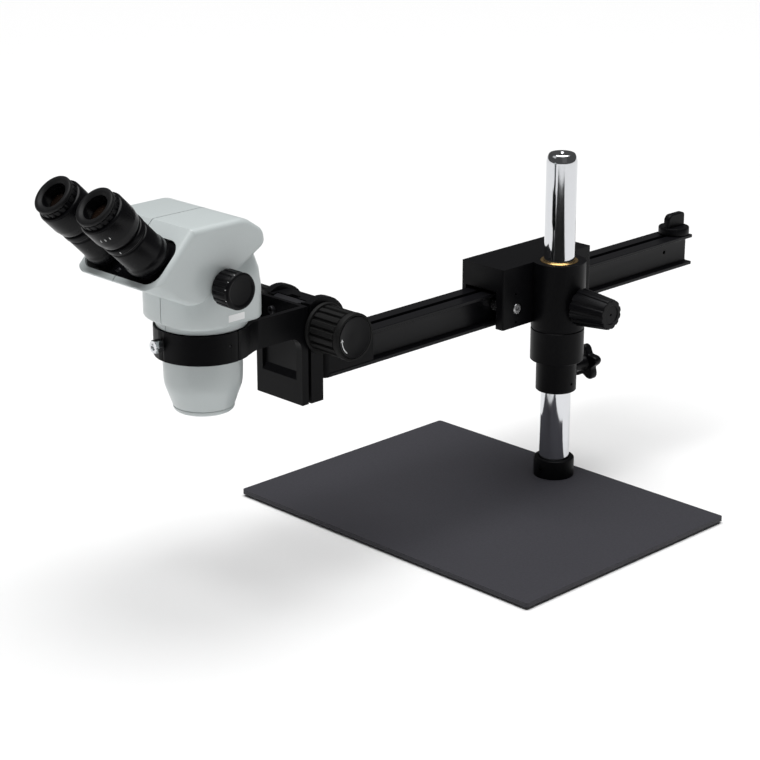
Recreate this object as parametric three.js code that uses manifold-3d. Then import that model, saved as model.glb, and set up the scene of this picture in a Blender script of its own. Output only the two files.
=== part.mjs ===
// Stereo microscope on a sliding boom stand.
//
// A base plate carries a round post. A support collar clamps on the post and a
// carrier turns on top of it. The carrier holds a boom rail between four ball
// bearings. The rail's front end carries a rack and pinion focus mount, whose
// arm ends in a ring that holds the microscope head.
//
// Units are millimetres, +Z up. The origin is the bottom centre of the stand,
// under its rubber feet. The user sits on the -Y side, and +X is to their right.

import * as THREE from 'three';
import { mergeVertices } from 'three/addons/utils/BufferGeometryUtils.js';
import Module from 'manifold-3d';

const wasm = await Module();
wasm.setup();

// ---- driving dimensions ---------------------------------------------------

const FIT_GAP = 0.3; // between a round part and the hole it sits in
const FACE_GAP = 0.1; // between two flat faces that rest on each other
const PAST = 5; // how far a cutter runs past the face it opens

const SIDES = { large: 32, medium: 24, small: 16, tiny: 10 };

// Brings the origin from the middle of the base plate to the middle of the whole footprint.
const FOOTPRINT_SHIFT = 44.38;

const FOOT = { radius: 14, height: 2.5, x: 176, y: 126, chamfer: 1 };
const PLATE = { width: 400, depth: 300, thickness: 5, corner: 3, screwHole: 4.6, sink: 8.4 };

// Heights from here on are measured from the underside of the base plate.
const POST = { y: 117, radius: 16, top: 355.4, noseFrom: 346, noseRadius: 12.9, tap: 4.1, tapTop: 26 };
const SOCKET = { radius: 21.5, top: 25.5, chamfer: 1.2 };
const COLLAR = { bottom: 101.5, shoulder: 135, top: 169.6, narrow: 21.4, wide: 28.1, chamfer: 0.7 };
const COLLAR_KNOB = { z: 120, from: 42, to: 52, mean: 16.4, lobe: 3.4, lobes: 5, hub: 7.5, hubFrom: 24.5, stud: 3 };
const WASHER = { bottom: 169.7, top: 170.9, outer: 27.2, inner: 16.5 };

const CARRIER = {
  bottom: 171.1, blockBottom: 177.4, top: 242, barrel: 28.1, bore: 20,
  left: -72, right: -13.3, front: -70.5, rear: 66, corner: 1.6,
  channelLeft: -66.2, channelRight: -23.4, channelTop: 217,
};
const BUSH = { outer: 19.7, length: 20.5, proud: 0.5 };
const AXLE = { frontY: -49.5, frontZ: 196.9, rearY: 46, rearZ: 194.2, pin: 3.9, shank: 3, shoulder: 5.4, head: 5.5 };
const BEARING = { radius: 12.4, bore: 4.2, width: 7.4 };
const CLAMP = { z: 198, from: 31, to: 71.7, big: 20, small: 15.8, flutes: 12, depth: 1.2, stud: 4 };

const BOOM = {
  x: -48, z: 195.5, front: -181, rear: 382, half: 17.5, web: 8.5, flange: 3.6,
  slot: 3.25, slotDepth: 10, pinHoleY: 343.7, pinHoleZ: 1.9,
};
const BOOM_END = { cheekRear: -122.6, cornerFrom: -182, nose: -204.2, neck: 9.5, corner: 8 };
const STOP = { y: 370.5, radius: 17.3, thickness: 8.5, wingHalf: 14.5, wingTop: 41, wingThickness: 8, bolt: 2.7 };

const FOCUS = {
  half: 32.5, front: -219.8, back: -204.3, bottom: 164.6, top: 262.3,
  housingBack: -196, housingBottom: 216.5, barrel: 15, ear: 30, earInner: 24, earBack: -170,
  grooveDepth: 7.3, grooveMouth: 18.8, grooveFloor: 21.3, rackSlot: 6.5, rackSlotBack: -207.3,
};
const PINION = { y: -204.5, z: 237.2, pitch: 5, tip: 5.8, root: 4, teeth: 12, journal: 5.1, halfFace: 5.5, reach: 58 };
const KNOB = { radius: 23.1, valley: 20.8, flange: 25, from: 33.7, flangeTo: 37.7, ribsTo: 70, to: 76.7, ribs: 18 };
const CAP = { radius: 20.2, thickness: 2.2, recess: 2.5 };

const SLIDE = { front: -222.9, back: -212.9, pad: 17, mouth: 18.4, floor: 20.8, bottom: 166, top: 261.5 };
const RACK = { half: 5.8, front: -212.7, root: -210.9, tip: -208.7, bottom: 168, top: 260 };

// Measures of the arm and the head are taken from the axis of the head.
const HEAD = { x: -48, y: -325 };
const RING = { inner: 38.4, outer: 44.8, bottom: 233.8, top: 261.8 };
const ARM = {
  half: 32.2, barInner: 26.7, plateFront: 94, wallFront: 97.7, plateBack: 101.9, plateBottom: 164.8,
  wallBottom: 222, pocketHalf: 24, pocketFoot: 189, pocketFloor: 196, fillet: 14,
};
const SLIDE_SCREW = { x: 12, z: 250, head: 4, headLength: 3.5, shank: 2.3, hole: 2.6, tip: 111 };
const THUMB = { angle: -5, z: 249, shank: 3, hole: 3.4, head: 6.5, inner: 38.8, headFrom: 45.5, headTo: 54 };

const NOSE = { bottom: 179.6, lensBore: 24.6, rim: 27, barrel: 36.8, seat: 38, seatTop: 261.9, top: 272, bore: 33.5 };
const CARRIAGE = { radius: 32.6, bottom: 224, top: 232, channel: 8.5, channelX: 13 };
const HOUSING = { half: 56, bevel: 5, wall: 3, splitGap: 0.1 };
const BODY = {
  half: 47, front: 47.5, rear: 38.5, bottom: 268.5, top: 331, corner: 13, chamfer: 3, roundness: 3,
  shoulderZ: 298, collar: 42.3, collarBottom: 262.1, bore: 36.7,
};
const BEZEL = {
  footY: -100.5, footZ: 321.2, centreUp: 29.7, width: 103, height: 46.6, corner: 14,
  lipCorner: 17, lipReach: 110,
};
const PANEL = { top: -3.6, thickness: 3, gap: 0.3 };
const ZOOM = { y: -19.5, z: 311.5, from: 57, to: 79, radius: 17, valley: 15.8, ribs: 18, shaft: 3.5, hub: 4.6, hubFrom: 48 };

// Measures of an eyepiece are taken along the tube, outward from the bezel plane.
const EYE = { x: 29.1, up: 0.3, tilt: 45 };
// Each tube stands off centre on a disc that turns in the panel, which sets the distance between the eyes.
const SWIVEL = { outward: 1.9, down: 6.7, radius: 13, flange: 15.2, flangeTop: -7.2, bottom: -10, bore: 9.5 };
const DIOPTER = { bottom: 74.2, top: 79.4, inner: 16.7, outer: 19.4, valley: 18.7, ribs: 20 };

// ---- materials ------------------------------------------------------------

const finish = (color, roughness, metalness) =>
  new THREE.MeshStandardMaterial({ color, roughness, metalness });

const PAINT_WHITE = finish(0xc9d0d2, 0.35, 0);
const PAINT_BLACK = finish(0x17171a, 0.45, 0.1);
const POWDER_BLACK = finish(0x1b1b1d, 0.7, 0.1);
const ANODISED = finish(0x26272b, 0.4, 0.8);
const PLASTIC = finish(0x1c1c1e, 0.5, 0);
const RUBBER = finish(0x141414, 0.9, 0);
const CHROME = finish(0xe4e6e8, 0.08, 1);
const STEEL = finish(0xa9acb0, 0.3, 1);
const BRONZE = finish(0xb58b52, 0.35, 1);
const NYLON = finish(0x2c2c2c, 0.6, 0);
const GLASS = finish(0x3d4a55, 0.05, 0);

// ---- solids ---------------------------------------------------------------

function toSolid(geometry) {
  const bare = geometry.clone();
  bare.deleteAttribute('normal');
  bare.deleteAttribute('uv');
  const merged = mergeVertices(bare);
  const index = merged.index.array;
  const triVerts = [];
  for (let i = 0; i < index.length; i += 3) {
    const [a, b, c] = [index[i], index[i + 1], index[i + 2]];
    if (a !== b && b !== c && c !== a) triVerts.push(a, b, c);
  }
  const vertProperties = Float32Array.from(merged.attributes.position.array);
  if (signedVolume(vertProperties, triVerts) < 0) triVerts.reverse();
  return new wasm.Manifold(new wasm.Mesh({
    numProp: 3, vertProperties, triVerts: Uint32Array.from(triVerts),
  }));
}

function signedVolume(positions, triangles) {
  const corner = (i) => new THREE.Vector3().fromArray(positions, triangles[i] * 3);
  let sum = 0;
  for (let i = 0; i < triangles.length; i += 3) {
    sum += corner(i).dot(corner(i + 1).cross(corner(i + 2)));
  }
  return sum / 6;
}

function toGeometry(solid) {
  const { vertProperties, triVerts } = solid.getMesh();
  const geometry = new THREE.BufferGeometry();
  geometry.setAttribute('position', new THREE.BufferAttribute(vertProperties, 3));
  geometry.setIndex(new THREE.BufferAttribute(triVerts, 1));
  return geometry;
}

function join(...bodies) {
  return toGeometry(bodies.map(toSolid).reduce((sum, next) => sum.add(next)));
}

function cut(body, ...cutters) {
  return toGeometry(cutters.map(toSolid).reduce((rest, cutter) => rest.subtract(cutter), toSolid(body)));
}

function common(first, second) {
  return toGeometry(toSolid(first).intersect(toSolid(second)));
}

// ---- basic shapes ---------------------------------------------------------

// Turns +Z into +X, so that an outline drawn in (y, z) is swept along X.
const ALONG_X = new THREE.Matrix4().makeBasis(
  new THREE.Vector3(0, 1, 0), new THREE.Vector3(0, 0, 1), new THREE.Vector3(1, 0, 0));
// Turns +Z into -Y, so that an outline drawn in (x, z) is swept along Y.
const ALONG_Y = new THREE.Matrix4().makeBasis(
  new THREE.Vector3(1, 0, 0), new THREE.Vector3(0, 0, 1), new THREE.Vector3(0, -1, 0));

function block([x0, x1], [y0, y1], [z0, z1]) {
  const box = new THREE.BoxGeometry(x1 - x0, y1 - y0, z1 - z0);
  return box.translate((x0 + x1) / 2, (y0 + y1) / 2, (z0 + z1) / 2);
}

function outline(points) {
  return new THREE.Shape(points.map(([u, v]) => new THREE.Vector2(u, v)));
}

function sweepZ(shape, [z0, z1], curveSegments = 4) {
  const options = { depth: z1 - z0, bevelEnabled: false, curveSegments };
  return new THREE.ExtrudeGeometry(shape, options).translate(0, 0, z0);
}

function sweepX(shape, [x0, x1], curveSegments = 4) {
  return sweepZ(shape, [x0, x1], curveSegments).applyMatrix4(ALONG_X);
}

function sweepY(shape, [y0, y1], curveSegments = 4) {
  return sweepZ(shape, [-y1, -y0], curveSegments).applyMatrix4(ALONG_Y);
}

// A solid of revolution about Z. Points are [radius, height].
function turnZ(profile, sides = SIDES.large) {
  const points = profile.map(([r, z]) => new THREE.Vector2(r, z));
  return new THREE.LatheGeometry(points, sides).rotateX(Math.PI / 2);
}

// A ring of revolution about Z, whose profile closes on itself.
function ringZ(profile, sides = SIDES.large) {
  return turnZ([...profile, profile[0]], sides);
}

const turnX = (profile, sides) => turnZ(profile, sides).applyMatrix4(ALONG_X);
const ringX = (profile, sides) => ringZ(profile, sides).applyMatrix4(ALONG_X);

function rodZ(radius, [z0, z1], sides = SIDES.small) {
  return turnZ([[0, z0], [radius, z0], [radius, z1], [0, z1]], sides);
}

function rodX(radius, [x0, x1], y, z, sides = SIDES.small) {
  return rodZ(radius, [x0, x1], sides).applyMatrix4(ALONG_X).translate(0, y, z);
}

function rodY(radius, [y0, y1], x, z, sides = SIDES.small) {
  return rodZ(radius, [-y1, -y0], sides).applyMatrix4(ALONG_Y).translate(x, 0, z);
}

function roundedRectangle(width, height, radius) {
  const [x, y] = [width / 2, height / 2];
  const shape = new THREE.Shape();
  shape.moveTo(-x + radius, -y);
  shape.lineTo(x - radius, -y);
  shape.absarc(x - radius, -y + radius, radius, -Math.PI / 2, 0);
  shape.lineTo(x, y - radius);
  shape.absarc(x - radius, y - radius, radius, 0, Math.PI / 2);
  shape.lineTo(-x + radius, y);
  shape.absarc(-x + radius, y - radius, radius, Math.PI / 2, Math.PI);
  shape.lineTo(-x, -y + radius);
  shape.absarc(-x + radius, -y + radius, radius, Math.PI, Math.PI * 1.5);
  return shape;
}

// A circle whose rim alternates between ribs and valleys.
function ribbedCircle(ribs, tip, valley, ribShare = 0.55) {
  const step = (2 * Math.PI) / ribs;
  const points = [];
  for (let i = 0; i < ribs; i += 1) {
    const corners = [[0, tip], [ribShare, tip], [ribShare + 0.1, valley], [0.9, valley]];
    for (const [share, radius] of corners) {
      const angle = (i + share) * step;
      points.push([radius * Math.cos(angle), radius * Math.sin(angle)]);
    }
  }
  return outline(points);
}

// Moves each edge of a convex, anticlockwise outline inward by a distance.
function insetConvex(points, distance) {
  const edges = points.map((point, i) => {
    const next = points[(i + 1) % points.length];
    const along = new THREE.Vector2(next[0] - point[0], next[1] - point[1]).normalize();
    const start = new THREE.Vector2(point[0] - along.y * distance, point[1] + along.x * distance);
    return { along, start };
  });
  return edges.map((edge, i) => {
    const before = edges[(i + edges.length - 1) % edges.length];
    const gap = edge.start.clone().sub(before.start);
    const reach = gap.cross(edge.along) / before.along.cross(edge.along);
    return [before.start.x + before.along.x * reach, before.start.y + before.along.y * reach];
  });
}

function part(name, geometry, material) {
  const mesh = new THREE.Mesh(toGeometry(toSolid(geometry)), material);
  mesh.name = name;
  return mesh;
}

function group(x, y, z, ...children) {
  const holder = new THREE.Group();
  holder.position.set(x, y, z);
  holder.add(...children);
  return holder;
}

// ---- base and post --------------------------------------------------------

function basePlate() {
  const sheet = sweepZ(roundedRectangle(PLATE.width, PLATE.depth, PLATE.corner), [0, PLATE.thickness]);
  const hole = rodZ(PLATE.screwHole, [-PAST, PLATE.thickness + PAST]).translate(0, POST.y, 0);
  const sink = turnZ([[0, -1], [PLATE.sink + 1, -1], [PLATE.screwHole, PLATE.sink - PLATE.screwHole],
    [0, PLATE.sink - PLATE.screwHole]], SIDES.medium).translate(0, POST.y, 0);
  return part('base_plate', cut(sheet, hole, sink), POWDER_BLACK);
}

function rubberFoot(name, x, y) {
  const { radius, height, chamfer } = FOOT;
  const top = height - FACE_GAP;
  const pad = turnZ([[0, 0], [radius - chamfer, 0], [radius, chamfer], [radius, top], [0, top]], SIDES.medium);
  const mesh = part(name, pad, RUBBER);
  mesh.position.set(x, y, -height);
  return mesh;
}

function postSocket() {
  const { radius, top, chamfer } = SOCKET;
  const bore = POST.radius + FIT_GAP;
  const foot = PLATE.thickness + FACE_GAP;
  const sleeve = ringZ([[bore, foot], [radius, foot], [radius, top - chamfer], [radius - chamfer, top], [bore, top]]);
  return part('post_socket', sleeve, PAINT_BLACK);
}

function post() {
  const { radius, top, noseFrom, noseRadius, tap, tapTop } = POST;
  const foot = PLATE.thickness + 2 * FACE_GAP;
  const shoulder = (noseFrom + top) / 2;
  const profile = [[0, tapTop], [tap, tapTop], [tap, foot], [radius, foot], [radius, noseFrom],
    [radius - 0.8, shoulder], [noseRadius, top], [0, top]];
  return part('post', turnZ(profile), CHROME);
}

function postBolt() {
  const shank = POST.tap - FIT_GAP;
  const head = PLATE.sink - 0.8;
  const socket = 2.6;
  const profile = [[0, socket], [socket, socket], [socket, FIT_GAP], [head, FIT_GAP],
    [shank, FIT_GAP + head - shank], [shank, POST.tapTop - 2], [0, POST.tapTop - 2]];
  return part('post_bolt', turnZ(profile, SIDES.small), STEEL);
}

// ---- support collar -------------------------------------------------------

function supportCollar() {
  const { bottom, shoulder, top, narrow, wide, chamfer } = COLLAR;
  const bore = POST.radius + FIT_GAP;
  const sleeve = ringZ([[bore, bottom], [narrow - chamfer, bottom], [narrow, bottom + chamfer], [narrow, shoulder],
    [wide - chamfer, shoulder], [wide, shoulder + chamfer], [wide, top - chamfer], [wide - chamfer, top], [bore, top]]);
  const studHole = rodY(COLLAR_KNOB.stud + 0.4, [POST.radius - PAST, narrow + PAST], 0, COLLAR_KNOB.z);
  const grubHole = rodX(1.5, [narrow - 2, narrow + PAST], 0, COLLAR_KNOB.z - 9, SIDES.tiny);
  return part('support_collar', cut(sleeve, studHole, grubHole), PAINT_BLACK);
}

function thrustWasher() {
  const { bottom, top, outer, inner } = WASHER;
  return part('thrust_washer', ringZ([[inner, bottom], [outer, bottom], [outer, top], [inner, top]]), NYLON);
}

function collarStarKnob() {
  const { z, from, to, mean, lobe, lobes, hub, hubFrom, stud } = COLLAR_KNOB;
  const points = [];
  const steps = lobes * 8;
  for (let i = 0; i < steps; i += 1) {
    const angle = (i / steps) * 2 * Math.PI;
    const radius = mean + lobe * Math.cos(lobes * (angle - Math.PI / 2));
    points.push([radius * Math.cos(angle), radius * Math.sin(angle)]);
  }
  const star = sweepY(outline(points), [from, to]).translate(0, 0, z);
  const neck = rodY(hub, [hubFrom, from + 1], 0, z, SIDES.medium);
  const hole = rodY(stud + FIT_GAP, [hubFrom - PAST, from + 3], 0, z);
  return part('collar_star_knob', cut(join(star, neck), hole), PLASTIC);
}

function collarStud() {
  const { z, from, stud } = COLLAR_KNOB;
  return part('collar_stud', rodY(stud, [POST.radius + 0.5, from + 2], 0, z), STEEL);
}

// ---- carrier --------------------------------------------------------------

function carrierCasting() {
  const c = CARRIER;
  const [width, depth] = [c.right - c.left, c.rear - c.front];
  const barrel = rodZ(c.barrel, [c.bottom, c.top], SIDES.large);
  const slab = sweepZ(roundedRectangle(width, depth, c.corner), [c.blockBottom, c.top])
    .translate((c.left + c.right) / 2, (c.front + c.rear) / 2, 0);
  const bore = rodZ(c.bore, [c.bottom - PAST, c.top + PAST], SIDES.large);
  const channel = block([c.channelLeft, c.channelRight], [c.front - PAST, c.rear + PAST],
    [c.bottom - PAST, c.channelTop]);
  const studHole = rodX(CLAMP.stud + 0.4, [c.bore - PAST, c.barrel + PAST], 0, CLAMP.z);
  const holes = [];
  for (const [y, z] of [[AXLE.frontY, AXLE.frontZ], [AXLE.rearY, AXLE.rearZ]]) {
    holes.push(rodX(AXLE.shank + FIT_GAP, [c.channelRight - 1, c.right + 1], y, z));
    holes.push(rodX(AXLE.head + 0.4, [c.right - 4.3, c.right + 1], y, z));
    holes.push(rodX(AXLE.shank + FIT_GAP, [c.left - 1, c.channelLeft + 1], y, z));
    holes.push(rodX(1.3, [c.right - 2, c.right + 1], y - 2, z + 16, SIDES.tiny));
    holes.push(rodX(1.3, [c.right - 2, c.right + 1], y - 1, z - 14.5, SIDES.tiny));
  }
  return part('carrier_casting', cut(join(barrel, slab), bore, channel, studHole, ...holes), PAINT_BLACK);
}

function bush(name, bottom) {
  const inner = POST.radius + FIT_GAP;
  const top = bottom + BUSH.length;
  const chamfered = [[inner, bottom], [BUSH.outer, bottom], [BUSH.outer, top - 0.4], [BUSH.outer - 0.4, top], [inner, top]];
  return part(name, ringZ(chamfered), BRONZE);
}

// A shouldered screw. Its pin holds a bearing inside the rail's side groove.
function axleScrew(name, [pinTip, pinRoot, shoulder, headRoot, headTop], y, z) {
  const { pin, shank, shoulder: shoulderRadius, head } = AXLE;
  const socketRadius = 2.6;
  const socketFloor = headTop - Math.sign(headTop - headRoot) * 2.4;
  const profile = [[0, pinTip], [pin, pinTip], [pin, pinRoot], [shoulderRadius, pinRoot], [shoulderRadius, shoulder],
    [shank, shoulder], [shank, headRoot], [head, headRoot], [head, headTop], [socketRadius, headTop],
    [socketRadius, socketFloor], [0, socketFloor]];
  const mesh = part(name, turnX(profile, SIDES.small), STEEL);
  mesh.position.set(0, y, z);
  return mesh;
}

function guideBearing(name, from, y, z) {
  const { radius, bore, width } = BEARING;
  const to = from + width;
  const mesh = part(name, ringX([[bore, from], [radius, from], [radius, to], [bore, to]], SIDES.medium), STEEL);
  mesh.position.set(0, y, z);
  return mesh;
}

function carrierRollers() {
  const c = CARRIER;
  const railRight = BOOM.x + BOOM.half;
  const railLeft = BOOM.x - BOOM.half;
  const rightScrew = [railRight - 7.9, railRight - 0.4, c.channelRight - 0.2, c.right - 4.1, c.right + 1];
  const leftScrew = [railLeft + 8.1, railLeft + 0.8, c.channelLeft + FACE_GAP, c.left - FACE_GAP, c.left - 4.2];
  const pieces = [];
  const stations = [['front', AXLE.frontY, AXLE.frontZ], ['rear', AXLE.rearY, AXLE.rearZ]];
  for (const [where, y, z] of stations) {
    pieces.push(axleScrew(`axle_screw_${where}_right`, rightScrew, y, z));
    pieces.push(axleScrew(`axle_screw_${where}_left`, leftScrew, y, z));
    pieces.push(guideBearing(`guide_bearing_${where}_right`, railRight - 0.5 - BEARING.width, y, z));
    pieces.push(guideBearing(`guide_bearing_${where}_left`, railLeft + 0.9, y, z));
  }
  return pieces;
}

function clampKnob() {
  const { z, from, to, big, small, flutes, depth, stud } = CLAMP;
  const knob = sweepX(ribbedCircle(flutes, big, big - depth, 0.6), [from, to]);
  const position = knob.attributes.position;
  for (let i = 0; i < position.count; i += 1) {
    const along = (position.getX(i) - from) / (to - from);
    const scale = 1 - along * (1 - small / big);
    position.setY(i, position.getY(i) * scale);
    position.setZ(i, position.getZ(i) * scale);
  }
  const hole = rodX(stud + FIT_GAP, [from - PAST, from + 24], 0, 0);
  const dimple = rodX(1.3, [to - 3, to + PAST], 0, 0, SIDES.tiny);
  return part('clamp_knob', cut(knob, hole, dimple).translate(0, 0, z), PLASTIC);
}

function clampStud() {
  const { z, from, stud } = CLAMP;
  return part('clamp_stud', rodX(stud, [POST.radius + 0.5, from + 22], 0, z), STEEL);
}

// ---- boom -----------------------------------------------------------------

function railOutline() {
  const { half, web, flange, slot, slotDepth } = BOOM;
  const inner = half - flange;
  const floor = half - slotDepth;
  const right = [[half, -half], [half, -inner], [web, -inner], [web, inner], [half, inner], [half, half],
    [slot, half], [slot, floor]];
  const left = right.map(([x, z]) => [-x, z]).reverse();
  return outline([...right, ...left]);
}

function boomRail() {
  const rail = sweepY(railOutline(), [BOOM.front, BOOM.rear]);
  const hole = rodX(2.2, [-BOOM.half, BOOM.half], BOOM.pinHoleY, BOOM.pinHoleZ, SIDES.tiny);
  return part('boom_rail', cut(rail, hole), ANODISED);
}

function boomEnd() {
  const { cheekRear, cornerFrom, nose, neck, corner } = BOOM_END;
  const { half, web, flange, front } = BOOM;
  const shape = new THREE.Shape();
  shape.moveTo(-half, front - FIT_GAP);
  shape.lineTo(-half, cornerFrom);
  shape.absarc(-half + corner, cornerFrom, corner, Math.PI, Math.PI * 1.5);
  shape.lineTo(-neck, nose);
  shape.lineTo(neck, nose);
  shape.lineTo(half - corner, cornerFrom - corner);
  shape.absarc(half - corner, cornerFrom, corner, -Math.PI / 2, 0);
  shape.lineTo(half, front - FIT_GAP);
  const nosePiece = sweepZ(shape, [-half, half]);
  const height = half - flange - FIT_GAP;
  const cheeks = [[web + FIT_GAP, half], [-half, -web - FIT_GAP]]
    .map((span) => block(span, [front - 1, cheekRear], [-height, height]));
  return part('boom_end', join(nosePiece, ...cheeks), PAINT_BLACK);
}

function stopBolt() {
  const { half, slot, slotDepth } = BOOM;
  const foot = half - slotDepth + FIT_GAP;
  const plate = block([-slot + FIT_GAP, slot - FIT_GAP], [-6, 6], [foot, foot + 4]);
  return part('stop_bolt', join(plate, rodZ(STOP.bolt, [foot + 3, half + STOP.thickness])), STEEL);
}

function stopKnob() {
  const { radius, thickness, wingHalf, wingTop, wingThickness, bolt } = STOP;
  const bottom = BOOM.half + FACE_GAP;
  const top = bottom + thickness;
  const chamfer = 0.7;
  const disc = turnZ([[0, bottom], [radius - chamfer, bottom], [radius, bottom + chamfer], [radius, top - chamfer],
    [radius - chamfer, top], [0, top]], SIDES.medium);
  const round = 8;
  const shape = new THREE.Shape();
  shape.moveTo(-wingHalf, top - 1);
  shape.lineTo(-wingHalf, wingTop - round);
  shape.absarc(-wingHalf + round, wingTop - round, round, Math.PI, Math.PI / 2, true);
  shape.lineTo(wingHalf - 2, wingTop - 1);
  shape.lineTo(wingHalf, wingTop - 3);
  shape.lineTo(wingHalf, top - 1);
  const wing = sweepX(shape, [-wingThickness / 2, wingThickness / 2]);
  const hole = rodZ(bolt + FIT_GAP, [bottom - PAST, top + 1]);
  return part('stop_knob', cut(join(disc, wing), hole), PLASTIC);
}

// ---- focus mount ----------------------------------------------------------

function focusBody() {
  const f = FOCUS;
  const width = [-f.half, f.half];
  const slab = block(width, [f.front, f.back], [f.bottom, f.top]);
  const housing = block(width, [f.back - 1, f.housingBack], [f.housingBottom, f.top]);
  const barrel = rodX(f.barrel, width, PINION.y, PINION.z, SIDES.medium);
  const ears = [[-f.half, -f.earInner], [f.earInner, f.half]].map((span) => common(
    rodX(f.ear, span, PINION.y, PINION.z, SIDES.large),
    block(span, [f.front, f.earBack], [f.housingBottom, f.top + f.ear])));
  const floor = f.front + f.grooveDepth;
  const tall = [f.bottom - PAST, f.top + PAST];
  const widening = (f.grooveFloor - f.grooveMouth) / f.grooveDepth;
  const mouth = f.grooveMouth - widening;
  const groove = sweepZ(outline([[-mouth, f.front - 1], [mouth, f.front - 1], [f.grooveFloor, floor],
    [-f.grooveFloor, floor]]), tall);
  const rackSlot = block([-f.rackSlot, f.rackSlot], [floor - 1, f.rackSlotBack], tall);
  const bore = rodX(PINION.journal + FIT_GAP, [-f.half - PAST, f.half + PAST], PINION.y, PINION.z);
  const gearSpace = rodX(PINION.tip + 0.8, [-f.rackSlot - 1, f.rackSlot + 1], PINION.y, PINION.z);
  return part('focus_body', cut(join(slab, housing, barrel, ...ears), groove, rackSlot, bore, gearSpace), PAINT_BLACK);
}

function pinionShaft() {
  const { pitch, tip, root, teeth, journal, halfFace, reach } = PINION;
  const points = [];
  const step = (2 * Math.PI) / teeth;
  const rootHalf = 0.16;
  const tipHalf = 0.06;
  for (let i = 0; i < teeth; i += 1) {
    const middle = Math.PI + i * step;
    for (const [radius, offset] of [[root, -rootHalf], [tip, -tipHalf], [tip, tipHalf], [root, rootHalf]]) {
      points.push([radius * Math.cos(middle + offset), radius * Math.sin(middle + offset)]);
    }
  }
  const gear = sweepX(outline(points), [-halfFace, halfFace]);
  const core = turnX([[0, -reach], [4.5, -reach], [4.5, -FOCUS.half], [journal, -FOCUS.half], [journal, -halfFace - 2],
    [root - 0.2, -halfFace - 2], [root - 0.2, halfFace + 2], [journal, halfFace + 2], [journal, FOCUS.half],
    [4.5, FOCUS.half], [4.5, reach], [0, reach]], SIDES.small);
  const mesh = part('pinion_shaft', join(core, gear), STEEL);
  mesh.position.set(0, PINION.y, PINION.z);
  mesh.userData.pitchRadius = pitch;
  return mesh;
}

// A knob about the X axis; side is 1 for the right hand and -1 for the left.
function focusKnob(name, side) {
  const k = KNOB;
  const recess = CAP.radius + FIT_GAP;
  const ribs = sweepX(ribbedCircle(k.ribs, k.radius - 0.4, k.valley), [k.flangeTo - 1, k.ribsTo + 1]);
  const flange = turnX([[0, k.from], [k.flange, k.from], [k.flange, k.flangeTo], [0, k.flangeTo]]);
  const rim = turnX([[0, k.ribsTo], [k.radius, k.ribsTo], [k.radius, k.to - 1], [k.radius - 1, k.to], [0, k.to]]);
  const seat = turnX([[0, k.to - CAP.recess], [recess, k.to - CAP.recess], [recess, k.to + 1], [0, k.to + 1]]);
  const hole = rodX(4.5 + FIT_GAP, [k.from - PAST, PINION.reach + 1], 0, 0);
  const mesh = part(name, cut(join(ribs, flange, rim), seat, hole), RUBBER);
  mesh.position.set(0, PINION.y, PINION.z);
  mesh.rotation.z = side > 0 ? 0 : Math.PI;
  return mesh;
}

function knobCap(name, side) {
  const back = KNOB.to - CAP.recess + FACE_GAP;
  const front = back + CAP.thickness;
  const disc = turnX([[0, back], [CAP.radius, back], [CAP.radius, front - 0.5], [CAP.radius - 0.5, front], [0, front]]);
  const mesh = part(name, disc, PLASTIC);
  mesh.position.set(0, PINION.y, PINION.z);
  mesh.rotation.z = side > 0 ? 0 : Math.PI;
  return mesh;
}

function dovetailSlide() {
  const s = SLIDE;
  const right = [[s.pad, s.front], [s.pad, FOCUS.front - FIT_GAP], [s.mouth, FOCUS.front + 0.2], [s.floor, s.back]];
  const left = right.map(([x, y]) => [-x, y]).reverse();
  const bar = sweepZ(outline([...right, ...left]), [s.bottom, s.top]);
  const holes = [-1, 1].map((side) => rodY(SLIDE_SCREW.hole, [s.front - PAST, HEAD.y + SLIDE_SCREW.tip + 0.5],
    side * SLIDE_SCREW.x, SLIDE_SCREW.z, SIDES.tiny));
  return part('dovetail_slide', cut(bar, ...holes), ANODISED);
}

function focusRack() {
  const { half, front, root, tip, bottom, top } = RACK;
  const pitch = (2 * Math.PI * PINION.pitch) / PINION.teeth;
  const teethBelow = Math.floor((PINION.z - bottom) / pitch);
  const teethAbove = Math.floor((top - PINION.z) / pitch);
  const points = [[front, bottom], [root, bottom]];
  for (let i = -teethBelow; i < teethAbove; i += 1) {
    const middle = PINION.z + (i + 0.5) * pitch;
    points.push([root, middle - 0.75], [tip, middle - 0.25], [tip, middle + 0.25], [root, middle + 0.75]);
  }
  points.push([root, top], [front, top]);
  return part('focus_rack', sweepX(outline(points), [-half, half]), STEEL);
}

// ---- arm that carries the head --------------------------------------------

function sideBar(side) {
  const { half, barInner, plateBack } = ARM;
  const plan = [[39.5, -3], [44.6, -3], [44.7, 2], [42.5, 13], [37.5, 25], [33.4, 34], [half, 40],
    [half, plateBack], [barInner, plateBack], [barInner, 30], [33, 22], [38.5, 8]];
  const points = side > 0 ? plan : plan.map(([x, y]) => [-x, y]).reverse();
  return sweepZ(outline(points), [RING.bottom, RING.top]);
}

// The rounded corner under a side bar, where it meets the rear plate.
function gusset(side) {
  const { half, pocketHalf, plateFront, fillet } = ARM;
  const foot = RING.bottom - fillet;
  const shape = new THREE.Shape();
  shape.moveTo(plateFront + 1, foot);
  shape.lineTo(plateFront, foot);
  shape.absarc(plateFront - fillet, foot, fillet, 0, Math.PI / 2);
  shape.lineTo(plateFront - fillet, RING.bottom + 1);
  shape.lineTo(plateFront + 1, RING.bottom + 1);
  const span = side > 0 ? [pocketHalf, half] : [-half, -pocketHalf];
  return sweepX(shape, span);
}

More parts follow.
